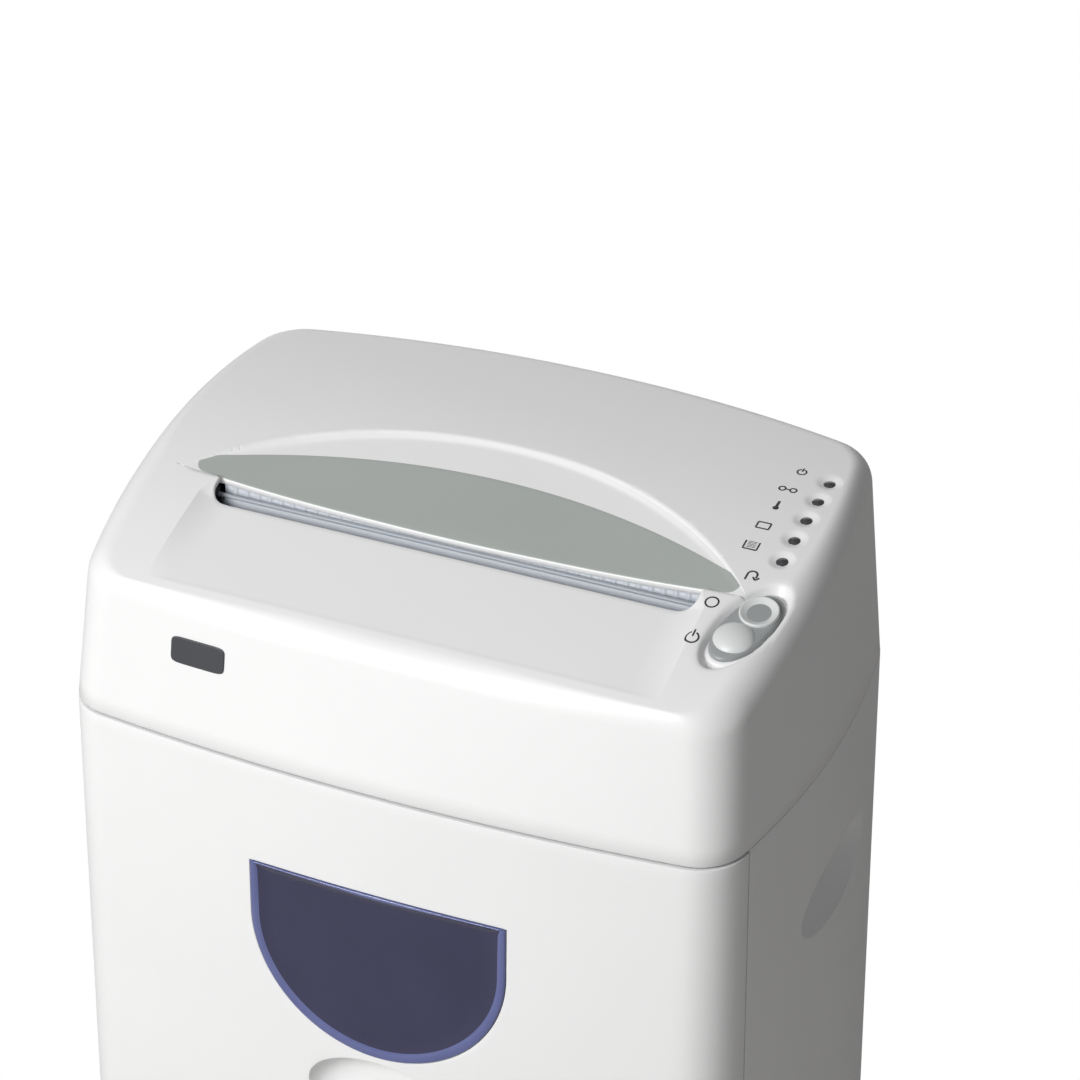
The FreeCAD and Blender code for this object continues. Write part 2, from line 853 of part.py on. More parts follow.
def make_compound_pin():
    m0 = gear_planes()["motor"][0]
    pin = rod_x(compound_pin_radius, m0 - 2.5, -frame_inside, compound_y, cutter_height)
    head = rod_x(compound_pin_radius + 1.5, m0 - 2.5, m0 - 1, compound_y, cutter_height)
    return fuse([pin, head])


def make_motor_pinion():
    m0, m1 = gear_planes()["motor"]
    return gear(motor_teeth, motor_module, m0, m1, motor_y, cutter_height,
                motor_shaft_radius, 180.0 + 180.0 / motor_teeth)


def motor_ends():
    left = -frame_inside
    return left, left + motor_length


def make_motor_body():
    """Motor can with end caps; the rotor turns inside it."""
    x0, x1 = motor_ends()
    can = rod_x(motor_radius, x0, x1, motor_y, cutter_height)
    can = can.cut(rod_x(motor_radius - motor_wall - 4, x0 + 4, x1 - 4, motor_y, cutter_height))
    can = can.cut(rod_x(motor_shaft_radius + running_gap, x0 - 1, x1 + 1, motor_y, cutter_height))
    foot = box(x0 + 14, x1 - 10, motor_y - 18, motor_y + 18, seam_height + chassis_thickness,
               cutter_height - motor_radius + 4)
    foot = foot.cut(rod_x(motor_radius - 1, x0, x1, motor_y, cutter_height))
    return fuse([can, foot])


def make_motor_rotor():
    x0, x1 = motor_ends()
    m0, m1 = gear_planes()["motor"]
    shaft = rod_x(motor_shaft_radius, m0 - 1, x1 + fan_width + 6, motor_y, cutter_height)
    core = rod_x(rotor_radius, x0 + 14, x1 - 14, motor_y, cutter_height)
    return fuse([shaft, core])


def make_fan():
    x0 = motor_ends()[1] + 3
    x1 = x0 + fan_width
    hub = rod_x(motor_shaft_radius + 4, x0, x1, motor_y, cutter_height)
    blades = []
    for k in range(fan_blades):
        blade = box(x0, x1, motor_y - 0.9, motor_y + 0.9, cutter_height + 6,
                    cutter_height + fan_radius)
        blade.rotate(V(x0, motor_y, cutter_height + 14), V(0, 0, 1), 25)
        blade.rotate(V(0, motor_y, cutter_height), V(1, 0, 0), 360.0 * k / fan_blades)
        blades.append(blade)
    wheel = fuse([hub] + blades)
    return wheel.cut(rod_x(motor_shaft_radius, x0 - 9, x1 + 9, motor_y, cutter_height))


def make_power_board():
    """Board on four standoffs, with a transformer and a relay."""
    x0 = power_board_x
    x1 = x0 + power_board_length
    y0 = motor_y - power_board_depth / 2
    y1 = motor_y + power_board_depth / 2
    low = seam_height + chassis_thickness + standoff_height
    plate = box(x0, x1, y0, y1, low, low + board_thickness)
    legs = [rod_z(standoff_radius, low - standoff_height, low, x, y)
            for x in (x0 + board_edge, x1 - board_edge)
            for y in (y0 + board_edge, y1 - board_edge)]
    transformer = box(x0 + board_edge, x0 + board_edge + transformer_length,
                      y0 + board_edge, motor_y + board_edge, low, low + transformer_height)
    relay = box(x1 - board_edge - relay_length, x1 - board_edge,
                y0 + board_edge, motor_y, low, low + relay_height)
    return fuse([plate, transformer, relay] + legs)


def make_capacitor():
    low = seam_height + chassis_thickness
    y = motor_y + 6
    can = rod_z(capacitor_radius, low, low + capacitor_length, capacitor_x, y)
    return fuse([can, rod_z(capacitor_radius + 2, low, low + standoff_height, capacitor_x, y)])


def make_chassis_plate():
    """Steel plate between cabinet and head, open below the cutters."""
    low = rounded_loft(head_wire, seam_height, seam_height + chassis_thickness,
                       wall + chassis_gap, corner_radius - wall - chassis_gap)
    y0 = front_cutter_y - cutter_radius
    y1 = rear_cutter_y + cutter_radius
    shreds = box(-slot_half_length, slot_half_length, y0, y1, seam_height - 1,
                 seam_height + chassis_thickness + 1)
    d0, d1 = gear_planes()["drive"]
    swing = (drive_teeth / 2 + 2) * gear_module
    relief = box(d0 - gear_gap, d1 + gear_gap, rear_cutter_y - swing, rear_cutter_y + swing,
                 seam_height - 1, seam_height + chassis_thickness + 1)
    return main_solid(cut(low, [fuse([shreds, relief])]))


# ---------------------------------------------------------------- rear fittings
def rear_centre():
    z = seam_height + inlet_rise
    return rear_wall(z) - 1.4, z


def make_rear_plate():
    y, z = rear_centre()
    half = (inlet_width + mains_spacing + mains_width) / 2 + plate_margin - fit_gap
    half_height = plate_half_height - fit_gap
    inner = y - 2 * wall
    plate = box(-half, half, inner, y, z - half_height, z + half_height)
    flange = box(-half - plate_flange, half + plate_flange, inner - plate_thickness, inner,
                 z - half_height, z + half_height)
    holes = []
    for x, width, height in zip(rear_places(), (inlet_width, mains_width),
                                (inlet_height, mains_height)):
        holes.append(box(x - width / 2, x + width / 2, y - inlet_depth, y + 1,
                         z - height / 2, z + height / 2))
    return cut(fuse([plate, flange]), holes)


def rear_places():
    """X of the inlet and of the mains switch."""
    return -mains_spacing / 2, mains_spacing / 2 + 6


def open_block(x, y, z, size, thickness, floor):
    """Block of the given width, depth and height, hollow from the back."""
    w, depth, h = size[0] / 2, size[1], size[2] / 2
    body = box(x - w, x + w, y - depth, y - 0.1, z - h, z + h)
    well = box(x - w + thickness, x + w - thickness, y - depth + floor, y + 1,
               z - h + thickness, z + h - thickness)
    return body.cut(well)


def make_power_inlet():
    """Recessed mains inlet with three flat pins."""
    y, z = rear_centre()
    x = rear_places()[0]
    body = open_block(x, y, z, (inlet_width, inlet_depth, inlet_height), inlet_wall, inlet_floor)
    pin_start = y - inlet_depth + inlet_floor / 2
    pins = []
    for dx, dz in ((-inlet_pin_spacing, -1.5), (0, 2.5), (inlet_pin_spacing, -1.5)):
        pins.append(box(x + dx - 1, x + dx + 1, pin_start, pin_start + inlet_pin_length,
                        z + dz - 2.5, z + dz + 2.5))
    return fuse([body] + pins)


def mains_pivot():
    y, z = rear_centre()
    return y - mains_pivot_depth, z


def make_mains_frame():
    y, z = rear_centre()
    x = rear_places()[1]
    body = open_block(x, y, z, (mains_width, mains_depth, mains_height), mains_wall, inlet_wall)
    py, pz = mains_pivot()
    return body.cut(rod_x(mains_pin_radius, x - mains_width, x + mains_width, py, pz))


def make_mains_rocker():
    """Rocker with a shallow V on its outer face."""
    py, pz = mains_pivot()
    x = rear_places()[1]
    w = mains_width / 2 - mains_wall - 0.5
    h = mains_height / 2 - 2 * mains_wall
    face = mains_pivot_depth - 1.6
    outline = [V(x - w, py - 5, pz - 4), V(x - w, py + face, pz - h), V(x - w, py + 2, pz),
               V(x - w, py + face, pz + h), V(x - w, py - 5, pz + 4)]
    body = Part.Face(Part.makePolygon(outline + [outline[0]])).extrude(V(2 * w, 0, 0))
    pin = rod_x(mains_pin_radius - running_gap, x - mains_width / 2, x + mains_width / 2, py, pz)
    return fuse([body, pin])


# ---------------------------------------------------------------- cabinet and bin
def front_half(offset):
    """Half-space in front of the door joint."""
    return box(-BIG, BIG, -BIG, door_plane - offset, -10, BIG)


def grip_tool(side, grow):
    """Flattened ball that hollows the side wall into a hand grip."""
    ball = Part.makeSphere(1.0)
    stretch = FreeCAD.Matrix()
    stretch.scale(grip_depth + grow, grip_length / 2 + grow, grip_height / 2 + grow)
    ball = ball.transformGeometry(stretch)
    z = seam_height - grip_drop
    flare = (seam_height - z) * tan_draft
    ball.translate(V(side * (body_width / 2 + flare), grip_y, z))
    return ball


def make_cabinet_shell():
    top = seam_height - seam_gap
    outer = rounded_loft(cabinet_wire, castor_height, top, 0.0, corner_radius)
    inner = rounded_loft(cabinet_wire, castor_height - 1, top + 1, wall, corner_radius - wall)
    shell = outer.cut(inner)
    ledge = wall + ledge_width
    rim = rounded_loft(cabinet_wire, top - wall, seam_height, wall, corner_radius - wall)
    hollow = rounded_loft(cabinet_wire, top - wall, seam_height, ledge, corner_radius - ledge)
    shell = fuse([shell, rim.cut(hollow)])
    shell = shell.cut(front_half(0))
    for side in (-1, 1):
        pod = grip_tool(side, wall).common(outer)
        shell = shell.fuse(pod).cut(grip_tool(side, 0.0))
    return main_solid(shell)


def make_base_plate():
    low = castor_height + 0.5
    block = rounded_loft(cabinet_wire, low, low + base_thickness, wall, corner_radius - wall)
    block = block.cut(front_half(-1.0))
    stems = [rod_z(stem_radius + running_gap, low - 1, low + base_thickness - 1.5, x, y)
             for x, y in castor_places().values()]
    return cut(block, stems)


def window_wire(y, grow):
    """D-shaped outline in a plane across Y: flat top, straight sides, round bottom."""
    half = window_half_width + grow
    top = seam_height - window_top_drop + grow
    low = seam_height - window_top_drop - window_straight
    edges = [
        Part.makeLine(V(-half, y, top), V(half, y, top)),
        Part.makeLine(V(half, y, top), V(half, y, low)),
        arc((half, y, low), (0, y, low - half), (-half, y, low)),
        Part.makeLine(V(-half, y, low), V(-half, y, top)),
    ]
    return Part.Wire(edges)


def window_prism(y0, y1, grow):
    return Part.Face(window_wire(y0, grow)).extrude(V(0, y1 - y0, 0))


def window_bottom():
    return seam_height - window_top_drop - window_straight - window_half_width


def pull_prism(y0, y1, grow):
    """Oval below the window, for the fingertips."""
    centre = V(0, y0, window_bottom() - pull_gap - pull_half_height)
    side = V(pull_half_width + grow, 0, 0)
    up = V(0, 0, pull_half_height + grow)
    oval = Part.Ellipse(centre + side, centre + up, centre)
    return Part.Face(Part.Wire(oval.toShape())).extrude(V(0, y1 - y0, 0))


def carrier_front():
    """Y of the face where the bin carrier is screwed to the front panel's ribs."""
    return -half_depth + carrier_setback


def carrier_floor():
    return castor_height + 0.5 + base_thickness + bin_floor_gap


def carrier_top():
    return bin_floor() + carrier_post


def bin_front_levels():
    return castor_height + 1.0, seam_height - seam_gap


def make_bin_front():
    """Bowed front panel that wraps round both corners and carries the bin."""
    low, top = bin_front_levels()
    outer = rounded_loft(cabinet_wire, low, top, 0.0, corner_radius)
    inner = rounded_loft(cabinet_wire, low + wall, top - wall, wall, corner_radius - wall)
    shell = outer.cut(inner).common(front_half(door_gap))
    y = -half_depth - 30
    cup = pull_prism(-half_depth + 1, -half_depth + pull_depth + pull_wall, pull_wall)
    shell = shell.fuse(cup)
    shell = shell.cut(pull_prism(y, -half_depth + pull_depth, 0.0))
    shell = shell.cut(window_prism(y, 0, fit_gap))
    ribs = []
    for x in (-rib_x, rib_x):
        rib = box(x - 4, x + 4, y, carrier_front(), carrier_floor(), carrier_top() - 5)
        ribs.append(rib.common(outer))
    return main_solid(fuse([main_solid(shell)] + ribs))


def make_window_pane():
    """Blue see-through pane, bowed like the front, with a narrow step behind it."""
    outer = rounded_loft(cabinet_wire, castor_height, seam_height, -window_proud,
                         corner_radius + window_proud)
    inner = rounded_loft(cabinet_wire, castor_height - 1, seam_height + 1,
                         window_thickness, corner_radius - window_thickness)
    skin = outer.cut(inner)
    return main_solid(skin.common(window_prism(-half_depth - 40, 0, 0.0)))


def make_window_retainer():
    """Frame behind the pane that holds it in the front panel."""
    outer = rounded_loft(cabinet_wire, castor_height, seam_height, wall + 0.1,
                         corner_radius - wall - 0.1)
    inner = rounded_loft(cabinet_wire, castor_height - 1, seam_height + 1, wall + 2.0,
                         corner_radius - wall - 2.0)
    ring = outer.cut(inner).common(window_prism(-half_depth - 40, 0, retainer_lap))
    ring = ring.cut(window_prism(-half_depth - 41, 1, -retainer_width))
    return main_solid(ring)


def bin_box(grow_wall, low, high):
    """Tapered box: its walls lean out towards the open top."""
    front = carrier_front() + carrier_plate + bin_front_gap
    back = half_depth - back_bow - bin_back_gap
    half = rail_line() + bin_overhang
    wires = []
    for z, spread in ((low, -bin_draft), (high, 0.0)):
        w = half + spread - grow_wall
        y0 = front + grow_wall
        y1 = back + spread - grow_wall
        corners = [V(-w, y0, z), V(w, y0, z), V(w, y1, z), V(-w, y1, z)]
        wires.append(Part.makePolygon(corners + [corners[0]]))
    return Part.makeLoft(wires, True, True)


def bin_floor():
    return carrier_floor() + rail_height


def make_waste_bin():
    low = bin_floor()
    top = seam_height - bin_top_drop
    outer = bin_box(0.0, low, top)
    upright = [e for e in outer.Edges if abs(e.Vertexes[0].Z - e.Vertexes[-1].Z) > 100]
    outer = outer.makeFillet(12, upright)
    inner = bin_box(bin_wall, low + bin_wall, top + 1)
    upright = [e for e in inner.Edges if abs(e.Vertexes[0].Z - e.Vertexes[-1].Z) > 100]
    inner = inner.makeFillet(10, upright)
    return outer.cut(inner)


def make_bin_carrier():
    """Tray that joins the bin to the front panel and slides on the rails."""
    low = carrier_floor()
    top = low + rail_height
    front = carrier_front()
    back = half_depth - back_bow - bin_back_gap - bin_draft
    half = rail_line() - rail_gap
    rim = carrier_rail
    tray = box(-half, half, front, back, low, top)
    hollow = box(-half + rim, half - rim, front + rim, back - rim, low - 1, top - carrier_plate)
    post = box(-rib_x - rim, rib_x + rim, front, front + carrier_plate, low, carrier_top())
    return fuse([tray.cut(hollow), post])


def rail_line():
    return body_width / 2 - side_bow - wall - rail_width


def make_rail(side):
    """Channel on the base that guides one edge of the bin carrier."""
    base = castor_height + 0.5 + base_thickness
    low = base
    inner = rail_line()
    outer = inner + rail_wall
    y0 = door_plane + 3
    y1 = half_depth - back_bow - bin_back_gap - bin_draft
    x0, x1 = sorted((side * inner, side * outer))
    upright = box(x0, x1, y0, y1, low, bin_floor() - 1)
    x0, x1 = sorted((side * (inner - rail_width), side * outer))
    foot = box(x0, x1, y0, y1, low, carrier_floor() - fit_gap)
    return fuse([upright, foot])


# ---------------------------------------------------------------- castors
def castor_places():
    places = {}
    for name, x in (("left", -castor_x), ("right", castor_x)):
        places["front_" + name] = (x, castor_front_y)
        places["back_" + name] = (x, castor_back_y)
    return places


def make_castor_wheel(x, y):
    cy = y + wheel_trail
    w = wheel_width / 2
    tyre = rod_x(wheel_radius, x - w, x + w, cy, wheel_radius)
    rims = [e for e in tyre.Edges if e.Curve.TypeId == "Part::GeomCircle"]
    tyre = tyre.makeFillet(3.0, rims)
    tyre = tyre.cut(rod_x(axle_radius + running_gap, x - w - 1, x + w + 1, cy, wheel_radius))
    for side in (-1, 1):
        x0, x1 = sorted((x + side * (w - 2), x + side * (w + 1)))
        dish = rod_x(wheel_radius - 6, x0, x1, cy, wheel_radius)
        dish = dish.cut(rod_x(axle_radius + 3, x0 - 1, x1 + 1, cy, wheel_radius))
        tyre = tyre.cut(dish)
    return tyre


def make_castor_axle(x, y):
    half = wheel_width / 2 + fork_gap + fork_wall + 0.8
    return rod_x(axle_radius, x - half, x + half, y + wheel_trail, wheel_radius)


def make_castor_fork(x, y):
    """Fork with its stem; the stem turns in the base."""
    cy = y + wheel_trail
    inner = wheel_width / 2 + fork_gap
    outer = inner + fork_wall
    crown_low = 2 * wheel_radius + 2.0
    crown_top = castor_height + 0.5 - swivel_gap
    pieces = []
    for side in (-1, 1):
        x0, x1 = sorted((x + side * inner, x + side * outer))
        cheek = [V(x0, y - 12, crown_low), V(x0, y + 12, crown_low),
                 V(x0, cy + 7, wheel_radius), V(x0, cy - 7, wheel_radius)]
        face = Part.Face(Part.makePolygon(cheek + [cheek[0]]))
        pieces.append(face.extrude(V(x1 - x0, 0, 0)))
        pieces.append(rod_x(7, x0, x1, cy, wheel_radius))
    crown = rod_z(outer + 2, crown_low, crown_low + 4, x, y)
    collar = rod_z(10, crown_low + 4, crown_top, x, y)
    stem_top = castor_height + 0.5 + base_thickness - 2.5
    stem = rod_z(stem_radius, crown_top - 1, stem_top, x, y)
    fork = fuse(pieces + [crown, collar, stem])
    return fork.cut(rod_x(axle_radius, x - outer - 1, x + outer + 1, cy, wheel_radius))


# ---------------------------------------------------------------- fasteners
def make_frame_screws():
    """Screws that hold the rear feet of the side frames to the chassis plate."""
    screws = []
    low = seam_height + chassis_thickness
    for side in (-1, 1):
        x = side * (frame_outside - 10)
        for y in (rear_cutter_y + cutter_radius + 20, motor_y + motor_radius - 6):
            screws.append(rod_z(3.5, low + foot_thickness, low + foot_thickness + 2.5, x, y))
    return Part.makeCompound(screws)


def build():
    nodes = {
        "head_housing": make_head_housing(),
        "feed_insert": make_feed_insert(),
        "throat_front": make_throat(True),
        "throat_rear": make_throat(False),
        "safety_flap": make_safety_flap(),
        "flap_brackets": make_flap_brackets(),
        "slot_sensor": make_slot_sensor(),
        "switch_bezel": make_switch_bezel(),
        "rocker_switch": make_rocker(),
        "rocker_pin": make_rocker_pin(),
        "indicator_lamps": make_lamps(),
        "control_board": make_control_board(),
        "badge": make_badge(),
        "cutter_front": make_cutter(True),
        "cutter_rear": make_cutter(False),
        "comb_front": make_comb(True),
        "comb_rear": make_comb(False),
        "side_frame_left": make_side_frame(-1),
        "side_frame_right": make_side_frame(1),
        "tie_rods": make_tie_rods(),
        "bearings": make_bearings(),
        "sync_gear_front": make_sync_gear(True),
        "sync_gear_rear": make_sync_gear(False),
        "drive_gear": make_drive_gear(),
        "compound_gear": make_compound_gear(),
        "compound_pin": make_compound_pin(),
        "motor_pinion": make_motor_pinion(),
        "motor_body": make_motor_body(),
        "motor_rotor": make_motor_rotor(),
        "motor_fan": make_fan(),
        "power_board": make_power_board(),
        "capacitor": make_capacitor(),
        "chassis_plate": make_chassis_plate(),
        "rear_plate": make_rear_plate(),
        "power_inlet": make_power_inlet(),
        "mains_frame": make_mains_frame(),
        "mains_rocker": make_mains_rocker(),
        "cabinet_shell": make_cabinet_shell(),
        "base_plate": make_base_plate(),
        "bin_front": make_bin_front(),
        "window_pane": make_window_pane(),
        "window_retainer": make_window_retainer(),
        "waste_bin": make_waste_bin(),
        "bin_carrier": make_bin_carrier(),
        "rail_left": make_rail(-1),
        "rail_right": make_rail(1),
        "frame_screws": make_frame_screws(),
    }
    for name, (x, y) in castor_places().items():
        nodes["castor_fork_" + name] = make_castor_fork(x, y)
        nodes["castor_wheel_" + name] = make_castor_wheel(x, y)
        nodes["castor_axle_" + name] = make_castor_axle(x, y)
    return nodes


os.makedirs("parts", exist_ok=True)
for node, shape in build().items():
    shape.exportStep("parts/" + node + ".step")
    print(node, len(shape.Solids), "valid", shape.isValid(), "volume", round(shape.Volume))
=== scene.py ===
import json
import math
import bmesh
import bpy
import numpy as np
from mathutils import Matrix, Vector


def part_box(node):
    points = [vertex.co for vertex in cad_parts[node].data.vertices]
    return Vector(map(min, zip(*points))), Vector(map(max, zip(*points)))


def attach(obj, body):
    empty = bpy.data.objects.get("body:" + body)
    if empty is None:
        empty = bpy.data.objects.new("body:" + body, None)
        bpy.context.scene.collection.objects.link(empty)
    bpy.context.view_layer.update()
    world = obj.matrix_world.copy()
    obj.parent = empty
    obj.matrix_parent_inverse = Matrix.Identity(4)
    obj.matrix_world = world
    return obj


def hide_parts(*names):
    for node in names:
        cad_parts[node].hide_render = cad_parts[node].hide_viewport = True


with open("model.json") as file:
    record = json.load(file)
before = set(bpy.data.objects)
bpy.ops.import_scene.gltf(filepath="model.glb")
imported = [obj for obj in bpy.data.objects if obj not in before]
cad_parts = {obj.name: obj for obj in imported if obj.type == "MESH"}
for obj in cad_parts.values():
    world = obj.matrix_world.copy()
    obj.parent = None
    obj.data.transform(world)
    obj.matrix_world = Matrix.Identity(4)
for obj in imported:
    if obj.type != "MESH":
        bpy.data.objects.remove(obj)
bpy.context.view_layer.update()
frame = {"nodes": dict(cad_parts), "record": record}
print("frame loaded")

# New pieces are worked out in millimetres and scaled when they become meshes.
metre = 0.001


def cornersOf(node):
    # lowest and highest corner of a CAD node, in millimetres
    low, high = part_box(node)
    return np.array(low) / metre, np.array(high) / metre


def ramp(count, start=0.0, end=1.0, power=1.0):
    # count values from start towards end, the end left out, crowded at the start when power is over 1
    return start + (end - start) * (np.arange(count) / count) ** power


def smoothStep(low, high, value):
    t = np.clip((value - low) / (high - low), 0, 1)
    return t * t * (3 - 2 * t)


def softMin(a, b, width):
    # the smaller of two heights, with the crease between them rounded over width
    h = np.clip(0.5 + 0.5 * (b - a) / width, 0, 1)
    return b + (a - b) * h - width * h * (1 - h)


# One smooth mesh from points in metres, the corners of all faces in a row, and each face's number of corners.
def pieceFrom(name, verts, loops, sizes):
    mesh = bpy.data.meshes.new(name)
    mesh.vertices.add(len(verts))
    mesh.vertices.foreach_set("co", verts.astype(np.float32).ravel())
    mesh.loops.add(len(loops))
    mesh.loops.foreach_set("vertex_index", loops.astype(np.int32))
    mesh.polygons.add(len(sizes))
    mesh.polygons.foreach_set("loop_start", (np.cumsum(sizes) - sizes).astype(np.int32))
    mesh.update(calc_edges=True)
    mesh.validate()
    mesh.polygons.foreach_set("use_smooth", np.ones(len(mesh.polygons), bool))
    piece = bpy.data.objects.new(name, mesh)
    bpy.context.scene.collection.objects.link(piece)
    return piece


# A grid of points, rows by columns, becomes one mesh. Closed rows or columns join the last to the first;
# a capped side gets one point at its middle. The signed volume of the closed shell says which way faces turn.
def gridPiece(name, points, closeRows=False, closeCols=True, capRows=False, faceSlots=None):
    rows, cols = points.shape[:2]
    verts = points.reshape(-1, 3)
    r = np.arange(rows if closeRows else rows - 1)
    c = np.arange(cols if closeCols else cols - 1)
    rr, cc = np.meshgrid(r, c, indexing="ij")
    r2, c2 = (rr + 1) % rows, (cc + 1) % cols
    quads = np.stack([rr * cols + cc, rr * cols + c2, r2 * cols + c2, r2 * cols + cc], -1).reshape(-1, 4)
    caps = []
    if capRows:
        verts = np.vstack([verts, points[0].mean(0), points[-1].mean(0)])
        i = np.arange(cols)
        j = (i + 1) % cols
        first, last = rows * cols, rows * cols + 1
        caps = [np.stack([j, i, np.full(cols, first)], -1),
                np.stack([(rows - 1) * cols + i, (rows - 1) * cols + j, np.full(cols, last)], -1)]
    a, b, d, e = (verts[quads[:, k]] for k in range(4))
    volume = (np.cross(a, b) * d).sum() + (np.cross(a, d) * e).sum()
    for cap in caps:
        p, q, s = (verts[cap[:, k]] for k in range(3))
        volume += (np.cross(p, q) * s).sum()
    if volume < 0:
        quads = quads[:, ::-1]
        caps = [cap[:, ::-1] for cap in caps]
    loops = np.concatenate([quads.ravel()] + [cap.ravel() for cap in caps])
    sizes = np.concatenate([np.full(len(quads), 4)] + [np.full(len(cap), 3) for cap in caps])
    piece = pieceFrom(name, verts * metre, loops, sizes)
    if faceSlots is not None:
        ends = [np.full(len(cap), slot) for cap, slot in zip(caps, (faceSlots[0], faceSlots[-1]))]
        band = np.concatenate([np.repeat(np.asarray(faceSlots), len(c))] + ends)
        piece.data.polygons.foreach_set("material_index", band.astype(np.int32))
    return piece


def joined(name, pieces):
    # several meshes made into one piece
    verts, loops, sizes = [], [], []
    base = 0
    for piece in pieces:
        old = piece.data
        co = np.empty(len(old.vertices) * 3, np.float32)
        corners = np.empty(len(old.loops), np.int32)
        counts = np.empty(len(old.polygons), np.int32)
        old.vertices.foreach_get("co", co)
        old.loops.foreach_get("vertex_index", corners)
        old.polygons.foreach_get("loop_total", counts)
        verts.append(co.reshape(-1, 3))
        loops.append(corners + base)
        sizes.append(counts)
        base += len(old.vertices)
        bpy.data.objects.remove(piece)
        bpy.data.meshes.remove(old)
    return pieceFrom(name, np.vstack(verts), np.concatenate(loops), np.concatenate(sizes))


def placed(piece, body, slot, nodes, *finishes):
    for finish in finishes:
        piece.data.materials.append(finish)
    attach(piece, body)
    if nodes:
        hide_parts(*nodes)
    return piece


# Finishes.

def newGroup(name, inputs, outputs):
    group = bpy.data.node_groups.new(name, "ShaderNodeTree")
    for label, kind, value in inputs:
        socket = group.interface.new_socket(label, in_out="INPUT", socket_type=kind)
        if value is not None:
            socket.default_value = value
    for label, kind in outputs:
        group.interface.new_socket(label, in_out="OUTPUT", socket_type=kind)
    nodes = group.nodes
    return group, nodes, group.links.new, nodes.new("NodeGroupInput"), nodes.new("NodeGroupOutput")


def grainGroup():
    # moulded grain: two sizes of noise over the object make a height and a slow change of tone
    group, nodes, link, source, sink = newGroup(
        "mouldedGrain",
        [("Place", "NodeSocketVector", None), ("Grain", "NodeSocketFloat", 1500.0),
         ("Cloud", "NodeSocketFloat", 14.0)],
        [("Height", "NodeSocketFloat"), ("Tone", "NodeSocketFloat")])
    fine = nodes.new("ShaderNodeTexNoise")
    fine.inputs["Detail"].default_value = 3.0
    link(source.outputs["Place"], fine.inputs["Vector"])
    link(source.outputs["Grain"], fine.inputs["Scale"])
    slow = nodes.new("ShaderNodeTexNoise")
    slow.inputs["Detail"].default_value = 4.0
    link(source.outputs["Place"], slow.inputs["Vector"])
    link(source.outputs["Cloud"], slow.inputs["Scale"])
    link(fine.outputs["Fac"], sink.inputs["Height"])
    link(slow.outputs["Fac"], sink.inputs["Tone"])
    return group


def dustGroup():
    # dust: patches of noise, kept where the surface looks up
    group, nodes, link, source, sink = newGroup(
        "settledDust",
        [("Place", "NodeSocketVector", None), ("Amount", "NodeSocketFloat", 0.2)],
        [("Mask", "NodeSocketFloat")])
    noise = nodes.new("ShaderNodeTexNoise")
    noise.inputs["Scale"].default_value = 60.0
    noise.inputs["Detail"].default_value = 6.0
    link(source.outputs["Place"], noise.inputs["Vector"])
    patches = nodes.new("ShaderNodeMapRange")
    patches.inputs["From Min"].default_value = 0.45
    patches.inputs["From Max"].default_value = 0.75
    link(noise.outputs["Fac"], patches.inputs["Value"])
    geometry = nodes.new("ShaderNodeNewGeometry")
    split = nodes.new("ShaderNodeSeparateXYZ")
    link(geometry.outputs["Normal"], split.inputs["Vector"])
    upward = nodes.new("ShaderNodeMath")
    upward.operation = "MAXIMUM"
    upward.inputs[1].default_value = 0.0
    link(split.outputs["Z"], upward.inputs[0])
    both = nodes.new("ShaderNodeMath")
    both.operation = "MULTIPLY"
    link(patches.outputs["Result"], both.inputs[0])
    link(upward.outputs["Value"], both.inputs[1])
    scaled = nodes.new("ShaderNodeMath")
    scaled.operation = "MULTIPLY"
    link(both.outputs["Value"], scaled.inputs[0])
    link(source.outputs["Amount"], scaled.inputs[1])
    link(scaled.outputs["Value"], sink.inputs["Mask"])
    return group


def brushedGroup():
    # drawn or turned metal: noise stretched along one way gives fine scratches
    group, nodes, link, source, sink = newGroup(
        "drawnScratches",
        [("Place", "NodeSocketVector", None), ("Stretch", "NodeSocketVector", (30.0, 900.0, 900.0))],
        [("Height", "NodeSocketFloat"), ("Tone", "NodeSocketFloat")])
    stretch = nodes.new("ShaderNodeVectorMath")
    stretch.operation = "MULTIPLY"
    link(source.outputs["Place"], stretch.inputs[0])
    link(source.outputs["Stretch"], stretch.inputs[1])
    noise = nodes.new("ShaderNodeTexNoise")
    noise.inputs["Scale"].default_value = 1.0
    noise.inputs["Detail"].default_value = 5.0
    link(stretch.outputs["Vector"], noise.inputs["Vector"])
    broad = nodes.new("ShaderNodeTexNoise")
    broad.inputs["Scale"].default_value = 25.0
    link(source.outputs["Place"], broad.inputs["Vector"])
    link(noise.outputs["Fac"], sink.inputs["Height"])
    link(broad.outputs["Fac"], sink.inputs["Tone"])
    return group


grain = grainGroup()
dust = dustGroup()
brushed = brushedGroup()


